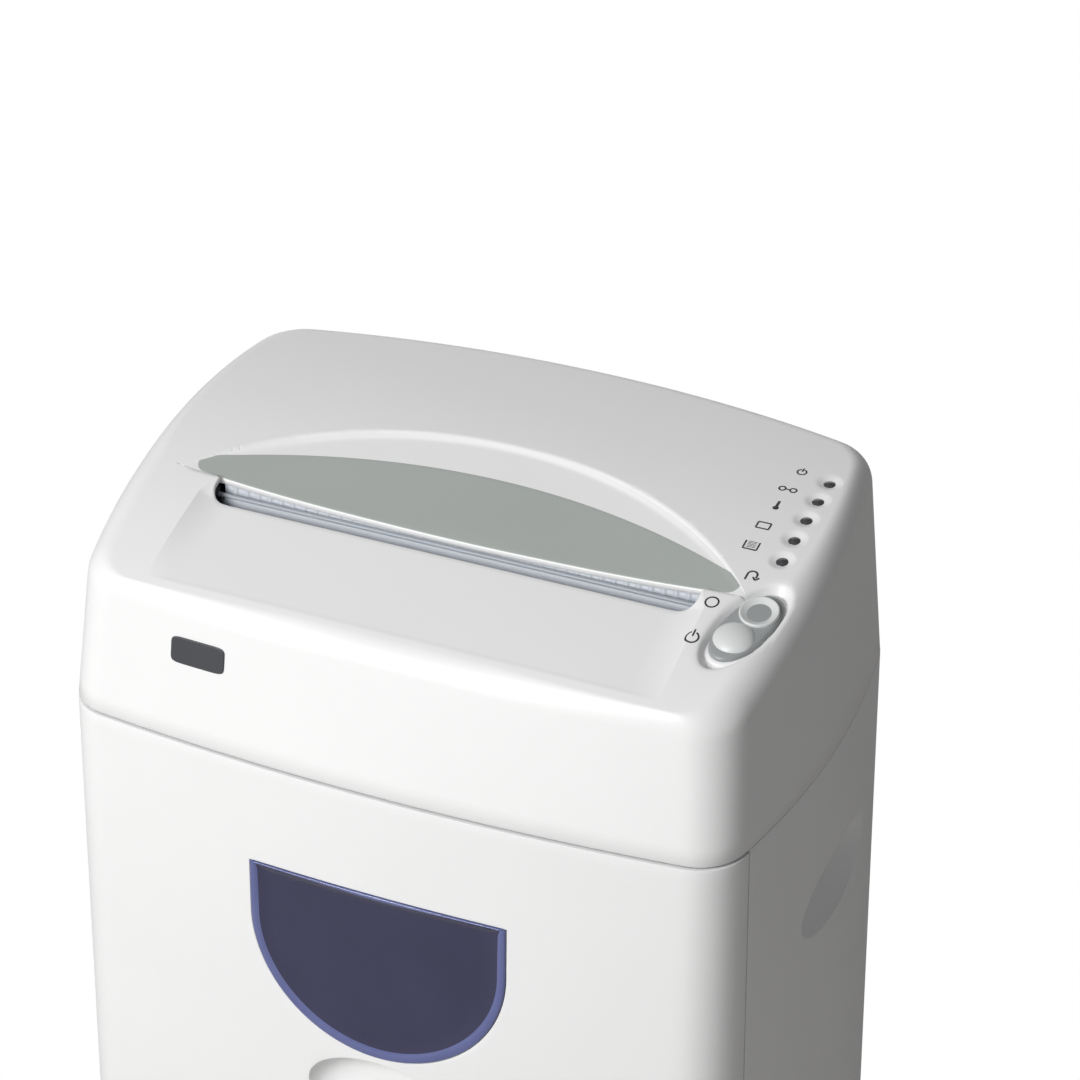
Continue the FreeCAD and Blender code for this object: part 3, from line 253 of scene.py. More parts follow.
# A finish: its colour drifts between two near tones with slow noise, its roughness follows that noise,
# and the fine noise feeds a bump. Metals use drawn scratches in place of the grain.
def newFinish(name, tone, second, roughness, spread=0.06, bump=0.02, metallic=0.0, grainScale=1500.0,
              cloud=14.0, dustAmount=0.0, coat=0.0, transmission=0.0, stretch=None, specular=0.5,
              subsurface=0.0):
    finish = bpy.data.materials.new(name)
    finish.use_nodes = True
    nodes, link = finish.node_tree.nodes, finish.node_tree.links.new
    shader = nodes["Principled BSDF"]
    place = nodes.new("ShaderNodeTexCoord")
    texture = nodes.new("ShaderNodeGroup")
    texture.node_tree = brushed if stretch else grain
    link(place.outputs["Object"], texture.inputs["Place"])
    if stretch:
        texture.inputs["Stretch"].default_value = stretch
    else:
        texture.inputs["Grain"].default_value = grainScale
        texture.inputs["Cloud"].default_value = cloud
    colours = nodes.new("ShaderNodeMix")
    colours.data_type = "RGBA"
    colours.inputs[6].default_value = (*tone, 1)
    colours.inputs[7].default_value = (*second, 1)
    link(texture.outputs["Tone"], colours.inputs[0])
    last = colours.outputs[2]
    if dustAmount:
        settled = nodes.new("ShaderNodeGroup")
        settled.node_tree = dust
        settled.inputs["Amount"].default_value = dustAmount
        link(place.outputs["Object"], settled.inputs["Place"])
        over = nodes.new("ShaderNodeMix")
        over.data_type = "RGBA"
        over.inputs[7].default_value = (0.55, 0.53, 0.5, 1)
        link(settled.outputs["Mask"], over.inputs[0])
        link(last, over.inputs[6])
        last = over.outputs[2]
    link(last, shader.inputs["Base Color"])
    rough = nodes.new("ShaderNodeMapRange")
    rough.inputs["To Min"].default_value = roughness - spread
    rough.inputs["To Max"].default_value = roughness + spread
    link(texture.outputs["Tone"], rough.inputs["Value"])
    link(rough.outputs["Result"], shader.inputs["Roughness"])
    relief = nodes.new("ShaderNodeBump")
    relief.inputs["Strength"].default_value = bump
    relief.inputs["Distance"].default_value = 0.0003
    link(texture.outputs["Height"], relief.inputs["Height"])
    link(relief.outputs["Normal"], shader.inputs["Normal"])
    shader.inputs["Metallic"].default_value = metallic
    shader.inputs["Coat Weight"].default_value = coat
    shader.inputs["Transmission Weight"].default_value = transmission
    shader.inputs["Specular IOR Level"].default_value = specular
    if subsurface:
        shader.inputs["Subsurface Weight"].default_value = subsurface
        shader.inputs["Subsurface Radius"].default_value = (0.002, 0.002, 0.002)
    return finish


bodyPlastic = newFinish("bodyPlastic", (0.83, 0.83, 0.83), (0.86, 0.86, 0.86), 0.42, bump=0.05)
insertGrey = newFinish("insertGrey", (0.40, 0.43, 0.41), (0.43, 0.46, 0.44), 0.4, bump=0.05)
throatGrey = newFinish("throatGrey", (0.46, 0.49, 0.54), (0.5, 0.53, 0.58), 0.45, bump=0.04)
clearFlap = newFinish("clearFlap", (0.5, 0.54, 0.6), (0.55, 0.59, 0.65), 0.4, spread=0.04, bump=0.0,
                      transmission=0.4)
darkPlastic = newFinish("darkPlastic", (0.025, 0.025, 0.027), (0.04, 0.04, 0.043), 0.42, bump=0.08,
                        dustAmount=0.25)
switchGrey = newFinish("switchGrey", (0.3, 0.315, 0.32), (0.34, 0.355, 0.36), 0.36, bump=0.03)
padGrey = newFinish("padGrey", (0.66, 0.675, 0.67), (0.7, 0.715, 0.71), 0.4, bump=0.04)
zincSteel = newFinish("zincSteel", (0.5, 0.5, 0.5), (0.62, 0.62, 0.6), 0.36, spread=0.1, metallic=1.0,
                      stretch=(40.0, 700.0, 700.0), bump=0.08, dustAmount=0.2)
lampSmoke = newFinish("lampSmoke", (0.035, 0.035, 0.038), (0.06, 0.06, 0.065), 0.16, spread=0.05, coat=0.6)
boardGreen = newFinish("boardGreen", (0.012, 0.1, 0.035), (0.02, 0.14, 0.05), 0.4, dustAmount=0.3)
badgeGrey = newFinish("badgeGrey", (0.045, 0.048, 0.055), (0.06, 0.063, 0.07), 0.4, bump=0.06)
cutterSteel = newFinish("cutterSteel", (0.3, 0.3, 0.31), (0.42, 0.42, 0.42), 0.32, spread=0.1, metallic=1.0,
                        stretch=(900.0, 60.0, 60.0), bump=0.1, dustAmount=0.35)
sinteredBronze = newFinish("sinteredBronze", (0.42, 0.26, 0.12), (0.5, 0.33, 0.16), 0.5, metallic=1.0,
                          bump=0.2)
gearSteel = newFinish("gearSteel", (0.42, 0.42, 0.43), (0.55, 0.55, 0.54), 0.38, metallic=1.0,
                      stretch=(60.0, 500.0, 500.0), bump=0.08)
gearNylon = newFinish("gearNylon", (0.62, 0.6, 0.52), (0.7, 0.68, 0.6), 0.45, subsurface=0.1)
motorCan = newFinish("motorCan", (0.2, 0.2, 0.21), (0.32, 0.32, 0.32), 0.4, spread=0.1, metallic=1.0,
                     stretch=(30.0, 400.0, 400.0), bump=0.08, dustAmount=0.25)
windowBlue = newFinish("windowBlue", (0.02, 0.02, 0.06), (0.032, 0.032, 0.085), 0.14, spread=0.03, cloud=22.0,
                       coat=0.5, bump=0.0)
windowRim = newFinish("windowRim", (0.075, 0.09, 0.25), (0.13, 0.155, 0.34), 0.12, spread=0.03, cloud=40.0,
                      coat=0.7, bump=0.0)
binGrey = newFinish("binGrey", (0.16, 0.16, 0.17), (0.2, 0.2, 0.21), 0.5, bump=0.1, dustAmount=0.3)
castorGrey = newFinish("castorGrey", (0.05, 0.05, 0.053), (0.075, 0.075, 0.078), 0.45, bump=0.1,
                       dustAmount=0.2)
castorTread = newFinish("castorTread", (0.1, 0.1, 0.1), (0.15, 0.15, 0.15), 0.6, bump=0.15, dustAmount=0.4)
markInk = newFinish("markInk", (0.03, 0.032, 0.035), (0.045, 0.048, 0.05), 0.5)

slotFinish = {
    "body_plastic": bodyPlastic, "insert_grey": insertGrey, "throat_grey": throatGrey,
    "clear_flap": clearFlap, "dark_plastic": darkPlastic, "switch_grey": switchGrey,
    "steel": zincSteel, "lamp_smoke": lampSmoke,
    "board_green": boardGreen, "badge_grey": badgeGrey, "cutter_steel": cutterSteel,
    "bronze": sinteredBronze,
    "gear_steel": gearSteel, "gear_nylon": gearNylon, "motor_can": motorCan, "window_blue": windowBlue,
    "bin_grey": binGrey, "castor_grey": castorGrey, "castor_tread": castorTread,
}
nodeSlots = {}
for entry in frame["record"]["subparts"]:
    nodeSlots[entry["node"]] = entry["material_slot"]
for name, node in frame["nodes"].items():
    finish = slotFinish[nodeSlots.get(name, "body_plastic")]
    if node.material_slots:
        for slot in node.material_slots:
            slot.material = finish
    else:
        node.data.materials.append(finish)
print("finishes made")

# Head shell.

headLow = cornersOf("head_housing")[0]
headSizes = {
    "seam": headLow[2] - 1.2,  # height where the lean of the faces starts
    "halfWidth": 173.0,
    "front": -121.0,
    "back": 121.0,
    "frontBow": 10.5,
    "sideBow": 12.0,
    "backBow": 22.0,
    "bowLoss": 0.085,
    "leanFront": 0.21,
    "leanSide": 0.075,
    "leanBack": 0.079,
    "cornerRadius": 24.0,
    "domeY": 90.73,
    "domeZ": 31.69,
    "domeRadius": 504.8,
    "edgeRadii": (9.0, 14.0, 11.0),  # where the front, the sides and the back turn into the top
    "wall": 3.0,
    "rimRadius": 0.8,
    "counts": (104, 12, 200, 90, 110),  # columns: front, each corner, right, back, left
    "topRows": 62,
    "innerRows": 36,
}
slotSizes = {
    "halfLength": 119.0,
    "front": -46.0,
    "rear": -34.0,
    "frontCorner": 7.0,
    "rearCorner": 1.5,
    "lip": 1.0,
    "rampStart": -98.0,
    "rampDrop": 4.0,
    "rampEdge": 124.0,
    "tipShare": 0.32,  # share of a side's columns in front of the tip of the arch
    "rampBlend": 16.0,
    "archHalf": 139.0,
    "archPeak": 28.0,
    "scoopLift": 1500.0,
    "coveDepth": 1.5,
    "coveWidth": 3.2,
}
switchSizes = {
    "x": 144.5,
    "y": -49.0,
    "turn": math.radians(-18),
    "halfLength": 28.0,
    "halfWidth": 13.5,
    "depth": 5.0,
    "slopeWidth": 4.2,
    "rimSoftness": 1.3,
}
lampLow, lampHigh = cornersOf("indicator_lamps")
lampSizes = {
    "count": 5,
    "radius": 3.0,
    "dishRadius": 6.4,
    "dishDepth": 1.5,
}
lampSizes["x"] = (lampLow[0] + lampHigh[0]) / 2
lampSizes["ys"] = np.linspace(lampLow[1] + lampSizes["radius"], lampHigh[1] - lampSizes["radius"],
                              lampSizes["count"])


def circlesMeet(ax, ay, ra, bx, by, rb, side):
    # one of the two points at ra from the first centre and rb from the second
    dx, dy = bx - ax, by - ay
    gap = np.hypot(dx, dy)
    along = (ra ** 2 - rb ** 2 + gap ** 2) / (2 * gap)
    off = np.sqrt(ra ** 2 - along ** 2) * side
    return ax + (along * dx - off * dy) / gap, ay + (along * dy + off * dx) / gap


# Closed plan outline for each row: a shallow arc on each of four sides, and corner arcs tangent to them.
# It starts at the left end of the front and goes round to the right, back and left.
def bowedLoop(halfWidth, front, back, sags, radius, counts):
    column = [np.atleast_1d(np.asarray(v, float))[:, None] for v in (halfWidth, front, back, *sags)]
    halfWidth, front, back, sagFront, sagSide, sagBack = column
    corner = halfWidth - sagSide
    middle = (front + sagFront + back - sagBack) / 2
    reach = (back - sagBack - front - sagFront) / 2
    rFront = (corner ** 2 + sagFront ** 2) / (2 * sagFront)
    rBack = (corner ** 2 + sagBack ** 2) / (2 * sagBack)
    rSide = (reach ** 2 + sagSide ** 2) / (2 * sagSide)
    yF, yB, xS = front + rFront, back - rBack, halfWidth - rSide
    px, py = circlesMeet(0, yF, rFront - radius, xS, middle, rSide - radius, 1)
    qx, qy = circlesMeet(0, yB, rBack - radius, xS, middle, rSide - radius, -1)
    aF = np.arctan2(px, yF - py)
    b1 = np.arctan2(py - middle, px - xS)
    b2 = np.arctan2(qy - middle, qx - xS)
    cB = np.arctan2(qx, qy - yB)
    nFront, nCorner, nRight, nBack, nLeft = counts
    half = math.pi / 2

    def sweep(cx, cy, r, start, end, n):
        angle = start + (end - start) * ramp(n)[None, :]
        return np.stack([cx + r * np.cos(angle), cy + r * np.sin(angle)], -1)

    return np.concatenate([
        sweep(0, yF, rFront, -half - aF, -half + aF, nFront),
        sweep(px, py, radius, -half + aF, b1, nCorner),
        sweep(xS, middle, rSide, b1, b2, nRight),
        sweep(qx, qy, radius, b2, half - cB, nCorner),
        sweep(0, yB, rBack, half - cB, half + cB, nBack),
        sweep(-qx, qy, radius, half + cB, math.pi - b2, nCorner),
        sweep(-xS, middle, rSide, math.pi - b2, math.pi - b1, nLeft),
        sweep(-px, py, radius, math.pi - b1, 3 * half - aF, nCorner),
    ], 1)


def headOutline(z):
    s = headSizes
    rise = z - s["seam"]
    bow = s["frontBow"] - s["bowLoss"] * rise
    return bowedLoop(s["halfWidth"] - s["leanSide"] * rise, s["front"] + s["leanFront"] * rise,
                     s["back"] - s["leanBack"] * rise,
                     (bow, s["sideBow"] + 0 * rise, s["backBow"] + 0 * rise), s["cornerRadius"], s["counts"])


def domeHeight(y):
    s = headSizes
    return s["domeZ"] + np.sqrt(s["domeRadius"] ** 2 - (y - s["domeY"]) ** 2)


def scoopBall():
    # ball through the arch's peak and its two tips, with its centre above the peak
    s = slotSizes
    peakZ, tipZ = domeHeight(s["archPeak"]), domeHeight(s["rear"])
    zc = peakZ + s["scoopLift"]
    lhs = s["archHalf"] ** 2 + s["rear"] ** 2 - s["archPeak"] ** 2 + (tipZ - zc) ** 2 - (peakZ - zc) ** 2
    yc = lhs / (2 * (s["rear"] - s["archPeak"]))
    return yc, zc, math.hypot(s["archPeak"] - yc, peakZ - zc)


scoopY, scoopZ, scoopR = scoopBall()
archRadius = (slotSizes["archHalf"] ** 2 + (slotSizes["archPeak"] - slotSizes["rear"]) ** 2) \
    / (2 * (slotSizes["archPeak"] - slotSizes["rear"]))
archY = slotSizes["archPeak"] - archRadius
archTip = math.atan2(slotSizes["archHalf"], slotSizes["rear"] - archY)


def scoopHeight(x, y):
    # the ball's under side, with a narrow cove just inside the arch that fades out towards the slot
    s = slotSizes
    ball = scoopZ - np.sqrt(scoopR ** 2 - x ** 2 - (y - scoopY) ** 2)
    inside = archRadius - np.hypot(x, y - archY)
    span = np.clip(1 - (x / s["archHalf"]) ** 2, 0, 1)
    cove = s["coveDepth"] * span * smoothStep(0, s["coveWidth"], inside) * np.clip(1 - inside / 55, 0, 1)
    return ball - cove


def rampHeight(y):
    s = slotSizes
    z0 = domeHeight(s["rampStart"])
    z1 = domeHeight(s["front"]) - s["rampDrop"]
    return z0 + (z1 - z0) * (y - s["rampStart"]) / (s["front"] - s["rampStart"])


def ellipseInside(x, y, halfLength, halfWidth):
    # rough distance inside an ellipse on the switch's own turned axes, positive inside
    s = switchSizes
    dx, dy = x - s["x"], y - s["y"]
    v = dx * math.cos(s["turn"]) + dy * math.sin(s["turn"])
    u = -dx * math.sin(s["turn"]) + dy * math.cos(s["turn"])
    rho = np.sqrt((u / halfLength) ** 2 + (v / halfWidth) ** 2) + 1e-6
    slope = np.sqrt((u / halfLength ** 2) ** 2 + (v / halfWidth ** 2) ** 2) / rho + 1e-6
    return (1 - rho) / slope


# Height of the top at any place: the dome, less the ramp before the slot, less the scoop behind it, with a
# dish at each lamp. start is the height of the bare form there, the dome by default.
def topHeight(x, y, start=None):
    s = slotSizes
    height = domeHeight(y) if start is None else start
    toSlot = np.clip((y - s["front"]) / (s["rear"] - s["front"]), 0, 1)
    edge = s["rampEdge"] - 5.0 * toSlot
    t = np.clip((edge - np.abs(x)) / s["rampBlend"], 0, 1)
    drop = np.where(y < s["front"], domeHeight(y) - rampHeight(y),
                    s["rampDrop"] * (1 - smoothStep(0, 1, toSlot)))
    height = height - np.maximum(drop, 0) * t * (2 - t) * smoothStep(s["rampStart"], s["rampStart"] + 3, y)
    tuck = smoothStep(s["rear"] - 1.2, s["rear"] + 0.2, y)
    dip = np.maximum(domeHeight(y) - scoopHeight(x, y), 0) * tuck
    height = height - np.where((np.abs(x) < s["archHalf"]) & (np.hypot(x, y - archY) < archRadius), dip, 0)
    for lampY in lampSizes["ys"]:
        near = np.clip(np.hypot(x - lampSizes["x"], y - lampY) / lampSizes["dishRadius"], 0, 1)
        height = height - lampSizes["dishDepth"] * (1 - near ** 2) ** 1.5
    w = switchSizes
    inside = ellipseInside(x, y, w["halfLength"], w["halfWidth"])
    funnel = domeHeight(y) - w["depth"] * smoothStep(-0.5, w["slopeWidth"], inside)
    funnel -= 0.4 * np.minimum(inside, 0)
    return softMin(height, np.where(inside > -6, funnel, height + 9), w["rimSoftness"])


# Where columns of the head meet the edge of the ramp and scoop (crease), and where they meet the slot.
def creaseAndSlot(counts):
    nFront, nCorner, nRight, nBack, nLeft = counts
    s = slotSizes
    r = s["frontCorner"]
    cx, cyFront, cyRear = s["halfLength"] - r, s["front"] + r, s["rear"] - s["rearCorner"]
    e = s["rampEdge"]
    knots = np.array([0.0, 0.24, 0.29, 0.291, s["tipShare"], 1.0])
    slotX = [cx, cx, cx, s["halfLength"] - s["rearCorner"], s["halfLength"] - s["rearCorner"], 84.0]
    slotY = [cyFront, cyFront, cyRear, cyRear, cyRear, cyRear]
    slotR = [r, r, r, s["rearCorner"], s["rearCorner"], s["rearCorner"]]
    slotA = np.radians([-80, 0, 0, 0, 90, 90])
    parts = []

    def sideOf(n):
        f = ramp(n)
        straight = f < s["tipShare"]
        px = np.interp(f, knots[[0, 1, 2, 4]], [e, e, s["halfLength"] + 0.8, s["archHalf"]])
        py = np.interp(f, knots[[0, 1, 2, 4]], [s["rampStart"] + 4, s["front"], s["rear"] - 1.0, s["rear"]])
        phi = archTip + (math.radians(38) - archTip) * (f - s["tipShare"]) / (1 - s["tipShare"])
        px = np.where(straight, px, archRadius * np.sin(phi))
        py = np.where(straight, py, archY + archRadius * np.cos(phi))
        data = [np.interp(f, knots, v) for v in (slotX, slotY, slotR, slotA)]
        return px, py, *data

    f = ramp(nFront)
    front = (-e + 4 + 2 * (e - 4) * f, np.full(nFront, s["rampStart"]), -cx + 2 * cx * f,
             np.full(nFront, cyFront), np.full(nFront, r), np.full(nFront, -math.pi / 2))
    f = ramp(nCorner)
    turn = -math.pi / 2 * (1 - f)
    corner = (e - 4 + 4 * np.cos(turn), s["rampStart"] + 4 + 4 * np.sin(turn), np.full(nCorner, cx),
              np.full(nCorner, cyFront), np.full(nCorner, r), np.radians(-90 + 10 * f))
    phi = np.radians(38 - 4 * f)
    rear = np.full(nCorner, cyRear)
    backCorner = (archRadius * np.sin(phi), archY + archRadius * np.cos(phi), 84 - 8 * f, rear,
                  np.full(nCorner, s["rearCorner"]), np.full(nCorner, math.pi / 2))
    f = ramp(nBack)
    phi = np.radians(34 * (1 - 2 * f))
    back = (archRadius * np.sin(phi), archY + archRadius * np.cos(phi), 76 * (1 - 2 * f),
            np.full(nBack, cyRear), np.full(nBack, s["rearCorner"]), np.full(nBack, math.pi / 2))

    def mirrored(part):
        # the same stretch on the left, walked the other way, so it starts where the right one ended
        px, py, sx, sy, sr, sa = [np.concatenate([v[1:], [2 * v[-1] - v[-2]]])[::-1] for v in part]
        return -px, py, -sx, sy, sr, math.pi - sa

    parts = [front, corner, sideOf(nRight), backCorner, back, mirrored(backCorner), mirrored(sideOf(nLeft)),
             mirrored(corner)]
    px, py, sx, sy, sr, sa = [np.concatenate([part[k] for part in parts]) for k in range(6)]
    crease = np.stack([px, py], -1)
    normal = np.stack([np.cos(sa), np.sin(sa)], -1)
    return crease, np.stack([sx, sy], -1) + sr[:, None] * normal, normal


def inwardOf(loop):
    # unit normals that point into a closed plan loop walked anticlockwise
    along = np.roll(loop, -1, 0) - np.roll(loop, 1, 0)
    along /= np.linalg.norm(along, axis=-1, keepdims=True)
    return np.stack([-along[:, 1], along[:, 0]], -1)


def makeHead():
    s = headSizes
    counts = s["counts"]
    nFront, nCorner, nRight, nBack, nLeft = counts
    low, high = headLow[2], 548.0
    ends = headOutline(np.array([low, high]))
    base, lean = ends[0], (ends[1] - ends[0]) / (high - low)

    def wallAt(z):
        return base + lean * (z - low)[:, None]

    top = np.full(len(base), 520.0)
    for step in range(8):
        top = domeHeight(wallAt(top)[:, 1])
    radii = np.concatenate([
        np.full(nFront, s["edgeRadii"][0]), np.linspace(s["edgeRadii"][0], s["edgeRadii"][1], nCorner),
        np.full(nRight, s["edgeRadii"][1]), np.linspace(s["edgeRadii"][1], s["edgeRadii"][2], nCorner),
        np.full(nBack, s["edgeRadii"][2]), np.linspace(s["edgeRadii"][2], s["edgeRadii"][1], nCorner),
        np.full(nLeft, s["edgeRadii"][1]), np.linspace(s["edgeRadii"][1], s["edgeRadii"][0], nCorner)])
    crease, slotLoop, slotNormal = creaseAndSlot(counts)
    edge = wallAt(top)
    toCrease = crease - edge
    reach = np.linalg.norm(toCrease, axis=-1)
    toCrease /= reach[:, None]
    radii = np.minimum(radii, 0.85 * reach)
    tangent = edge + toCrease * radii[:, None]
    up = np.concatenate([lean, np.ones((len(base), 1))], -1)
    up /= np.linalg.norm(up, axis=-1, keepdims=True)
    slope = -(tangent[:, 1] - s["domeY"]) / (domeHeight(tangent[:, 1]) - s["domeZ"])
    inward = np.concatenate([toCrease, (slope * toCrease[:, 1])[:, None]], -1)
    inward /= np.linalg.norm(inward, axis=-1, keepdims=True)
    startZ = top - radii * up[:, 2]
    start = np.concatenate([wallAt(startZ), startZ[:, None]], -1)
    end = np.concatenate([tangent, domeHeight(tangent[:, 1])[:, None]], -1)
    handle = 0.55 * radii[:, None]
    b1, b2 = start + up * handle, end - inward * handle
    rim = s["rimRadius"]
    rows = []
    for t in np.linspace(0, 1, 8)[:-1]:  # outer wall
        z = low + rim + (startZ - low - rim) * t
        rows.append(np.concatenate([wallAt(z), z[:, None]], -1))
    for t in np.linspace(0, 1, 12)[:-1]:  # rounded edge, a cubic curve
        p = start * (1 - t) ** 3 + b1 * 3 * t * (1 - t) ** 2 + b2 * 3 * t * t * (1 - t) + end * t ** 3
        p[:, 2] = topHeight(p[:, 0], p[:, 1], p[:, 2])
        rows.append(p)

    def onTop(plan, below=0.0):
        return np.concatenate([plan, (topHeight(plan[:, 0], plan[:, 1]) - below)[:, None]], -1)

    for t in ramp(s["topRows"], power=1.25):  # shoulder, down to the crease
        rows.append(onTop(tangent + (crease - tangent) * t))
    lipOut = slotLoop + slotNormal * slotSizes["lip"]
    for t in ramp(s["innerRows"], power=1.5):  # ramp and scoop, down to the slot
        rows.append(onTop(crease + (lipOut - crease) * t))
    lipTop = onTop(lipOut)
    for angle in np.radians([0, 22.5, 45, 67.5, 90]):  # rounded lip of the slot
        plan = lipOut - slotNormal * slotSizes["lip"] * math.sin(angle)
        z = lipTop[:, 2] - slotSizes["lip"] * (1 - math.cos(angle))
        rows.append(np.concatenate([plan, z[:, None]], -1))
    for out, below in ((0, s["wall"] - 0.5), (0.5, s["wall"])):
        rows.append(np.concatenate([slotLoop + slotNormal * out, (lipTop[:, 2] - below)[:, None]], -1))
    for t in np.linspace(0.85, 0, 12):  # under side
        rows.append(onTop(crease + (lipOut - crease) * t, s["wall"]))
    for t in np.linspace(0.92, 0, 16):
        rows.append(onTop(tangent + (crease - tangent) * t, s["wall"] + 1.5 * t * (1 - t)))
    inner = inwardOf(base)
    for t in np.linspace(1, 0, 4):  # inner wall and lower rim
        z = low + rim + (startZ - s["wall"] - low - rim) * t
        rows.append(np.concatenate([wallAt(z) + inner * s["wall"], z[:, None]], -1))
    for inset in (s["wall"] - rim, rim):
        rows.append(np.concatenate([base + inner * inset, np.full((len(base), 1), low)], -1))
    return gridPiece("headShell", np.array(rows), closeRows=True)


head = placed(makeHead(), "cabinet", "body_plastic", ["head_housing"], bodyPlastic)
print("head shell", len(head.data.polygons))

# Ribbed guide between the top and the rear throat plate.

guideSizes = {"halfLength": 117.4, "thickness": 1.6, "lap": 0.6, "ribPitch": 5.9, "ribHeight": 0.45}


# A strip whose front face waves evenly into upright ribs; its top follows the under side of the head.
def makeGuide():
    g = guideSizes
    throatTop = cornersOf("throat_rear")[1][2]
    x = np.linspace(-g["halfLength"], g["halfLength"], 640)
    rib = g["ribHeight"] * np.clip(np.cos(2 * math.pi * x / g["ribPitch"]), 0, 1)
    face = slotSizes["rear"] + 0.5 - rib
    back = np.full(x.size, slotSizes["rear"] + 0.5 + g["thickness"])
    top = topHeight(x, np.full(x.size, slotSizes["rear"] + slotSizes["lip"])) - headSizes["wall"] + 0.1
    bottom = np.full(x.size, throatTop - g["lap"])
    y = np.stack([face, face, back, back], -1)
    z = np.stack([bottom, top, top, bottom], -1)
    return gridPiece("throatGuide", np.stack([x[:, None] + 0 * y, y, z], -1), capRows=True)


placed(makeGuide(), "cabinet", "throat_grey", [], throatGrey)

# Grey insert behind the slot.

insertSizes = {
    "front": -33.7,
    "peak": 7.3,
    "archRadius": 292.0,
    "tipRadius": 5.3,
    "thickness": 1.4,
    "proud": 0.15,
    "edge": 0.45,
}


# Cross-sections from the left tip to the right one. Each runs from the front edge to the arch behind, over a
# rounded edge, and follows the scoop.
def makeInsert():
    s = insertSizes
    yc = s["peak"] - s["archRadius"]
    yt = s["front"] + s["tipRadius"]
    xt = math.sqrt((s["archRadius"] - s["tipRadius"]) ** 2 - (yt - yc) ** 2)
    reach = xt + s["tipRadius"]
    x = reach * np.sin(np.linspace(-math.pi / 2, math.pi / 2, 162)[1:-1])[:, None]
    past = np.maximum(np.abs(x) - xt, 0)
    rounding = np.sqrt(np.maximum(s["tipRadius"] ** 2 - past ** 2, 0))
    y0 = np.where(past > 0, yt - rounding, s["front"])
    arch = yc + np.sqrt(s["archRadius"] ** 2 - x ** 2)
    touch = xt + s["tipRadius"] * xt / (s["archRadius"] - s["tipRadius"])
    tip = yt + np.sqrt(np.maximum(s["tipRadius"] ** 2 - (np.abs(x) - xt) ** 2, 0))
    y1 = np.where(np.abs(x) > touch, tip, arch)
    edge = np.minimum(s["edge"], (y1 - y0) * 0.3)
    a = np.linspace(0, math.pi / 2, 5)[None, :]
    across = np.linspace(0, 1, 22)[1:-1][None, :]
    y = np.concatenate([y0, y0 + edge * (1 - np.cos(a)), y0 + edge + (y1 - y0 - 2 * edge) * across,
                        y1 - edge * (1 - np.sin(a)), y1], 1)
    drop = np.concatenate([edge * 0 + s["thickness"], edge * (1 - np.sin(a)), 0 * across + 0 * x,
                           edge * (1 - np.cos(a)), edge * 0 + s["thickness"]], 1)
    x = x + 0 * y
    z = np.minimum(domeHeight(y), scoopHeight(x, y)) + s["proud"] - drop
    return gridPiece("feedInsert", np.stack([x, y, z], -1), capRows=True)


placed(makeInsert(), "cabinet", "insert_grey", ["feed_insert"], insertGrey)

# Rocker switch.

rockerSizes = {
    "halfLength": 21.5,
    "halfWidth": 10.6,
    "level": -1.6,  # top of the plate against the dome
    "bumpAt": -8.2,
    "bumpRadius": 9.2,
    "bumpRise": 3.4,
    "dishAt": 9.4,
    "dishRadius": 8.9,
    "dishDepth": 2.4,
    "dishRim": 1.6,
    "crown": 0.5,
    "edge": 1.2,
    "skirt": 5.0,
    "bumpFoot": 1.5,
    "dishFoot": 3.5,
    "bumpTurn": 1.25,  # how far round the ball the bump reaches, in radians
    "collarGap": 2.2,
    "collarWidth": 1.5,
}
switchSlope = math.asin((headSizes["domeY"] - switchSizes["y"]) / headSizes["domeRadius"])


def onSwitch(u, v, h):
    # u runs along the switch towards the back, v across it, h square to the sloping shoulder
    t, c = switchSizes["turn"], switchSizes
    x, y = v * math.cos(t) - u * math.sin(t), v * math.sin(t) + u * math.cos(t)
    cs, sn = math.cos(switchSlope), math.sin(switchSlope)
    return np.stack([c["x"] + x, c["y"] + y * cs - h * sn, domeHeight(c["y"]) + y * sn + h * cs], -1)


# Rings of one outline carried through a profile of (scale of the outline, height); poles close both ends.
def ringed(outline, profile):
    scale, height = np.array(profile, float).T[:, :, None]
    return scale * outline[:, 0], scale * outline[:, 1], height + 0 * outline[:, 0]


def ovalOutline(halfLength, halfWidth, count, power=2.0):
    a = np.linspace(0, 2 * math.pi, count, endpoint=False)
    c, s = np.cos(a), np.sin(a)
    return np.stack([halfLength * np.sign(c) * np.abs(c) ** (2 / power),
                     halfWidth * np.sign(s) * np.abs(s) ** (2 / power)], -1)


def roundedEdge(k, h, radius, size, steps=5):
    # profile of a quarter-round edge on an outline whose middle size turns millimetres into scale
    a = np.linspace(0, math.pi / 2, steps)
    return [(k - radius / size * (1 - math.sin(b)), h - radius * (1 - math.cos(b))) for b in a]


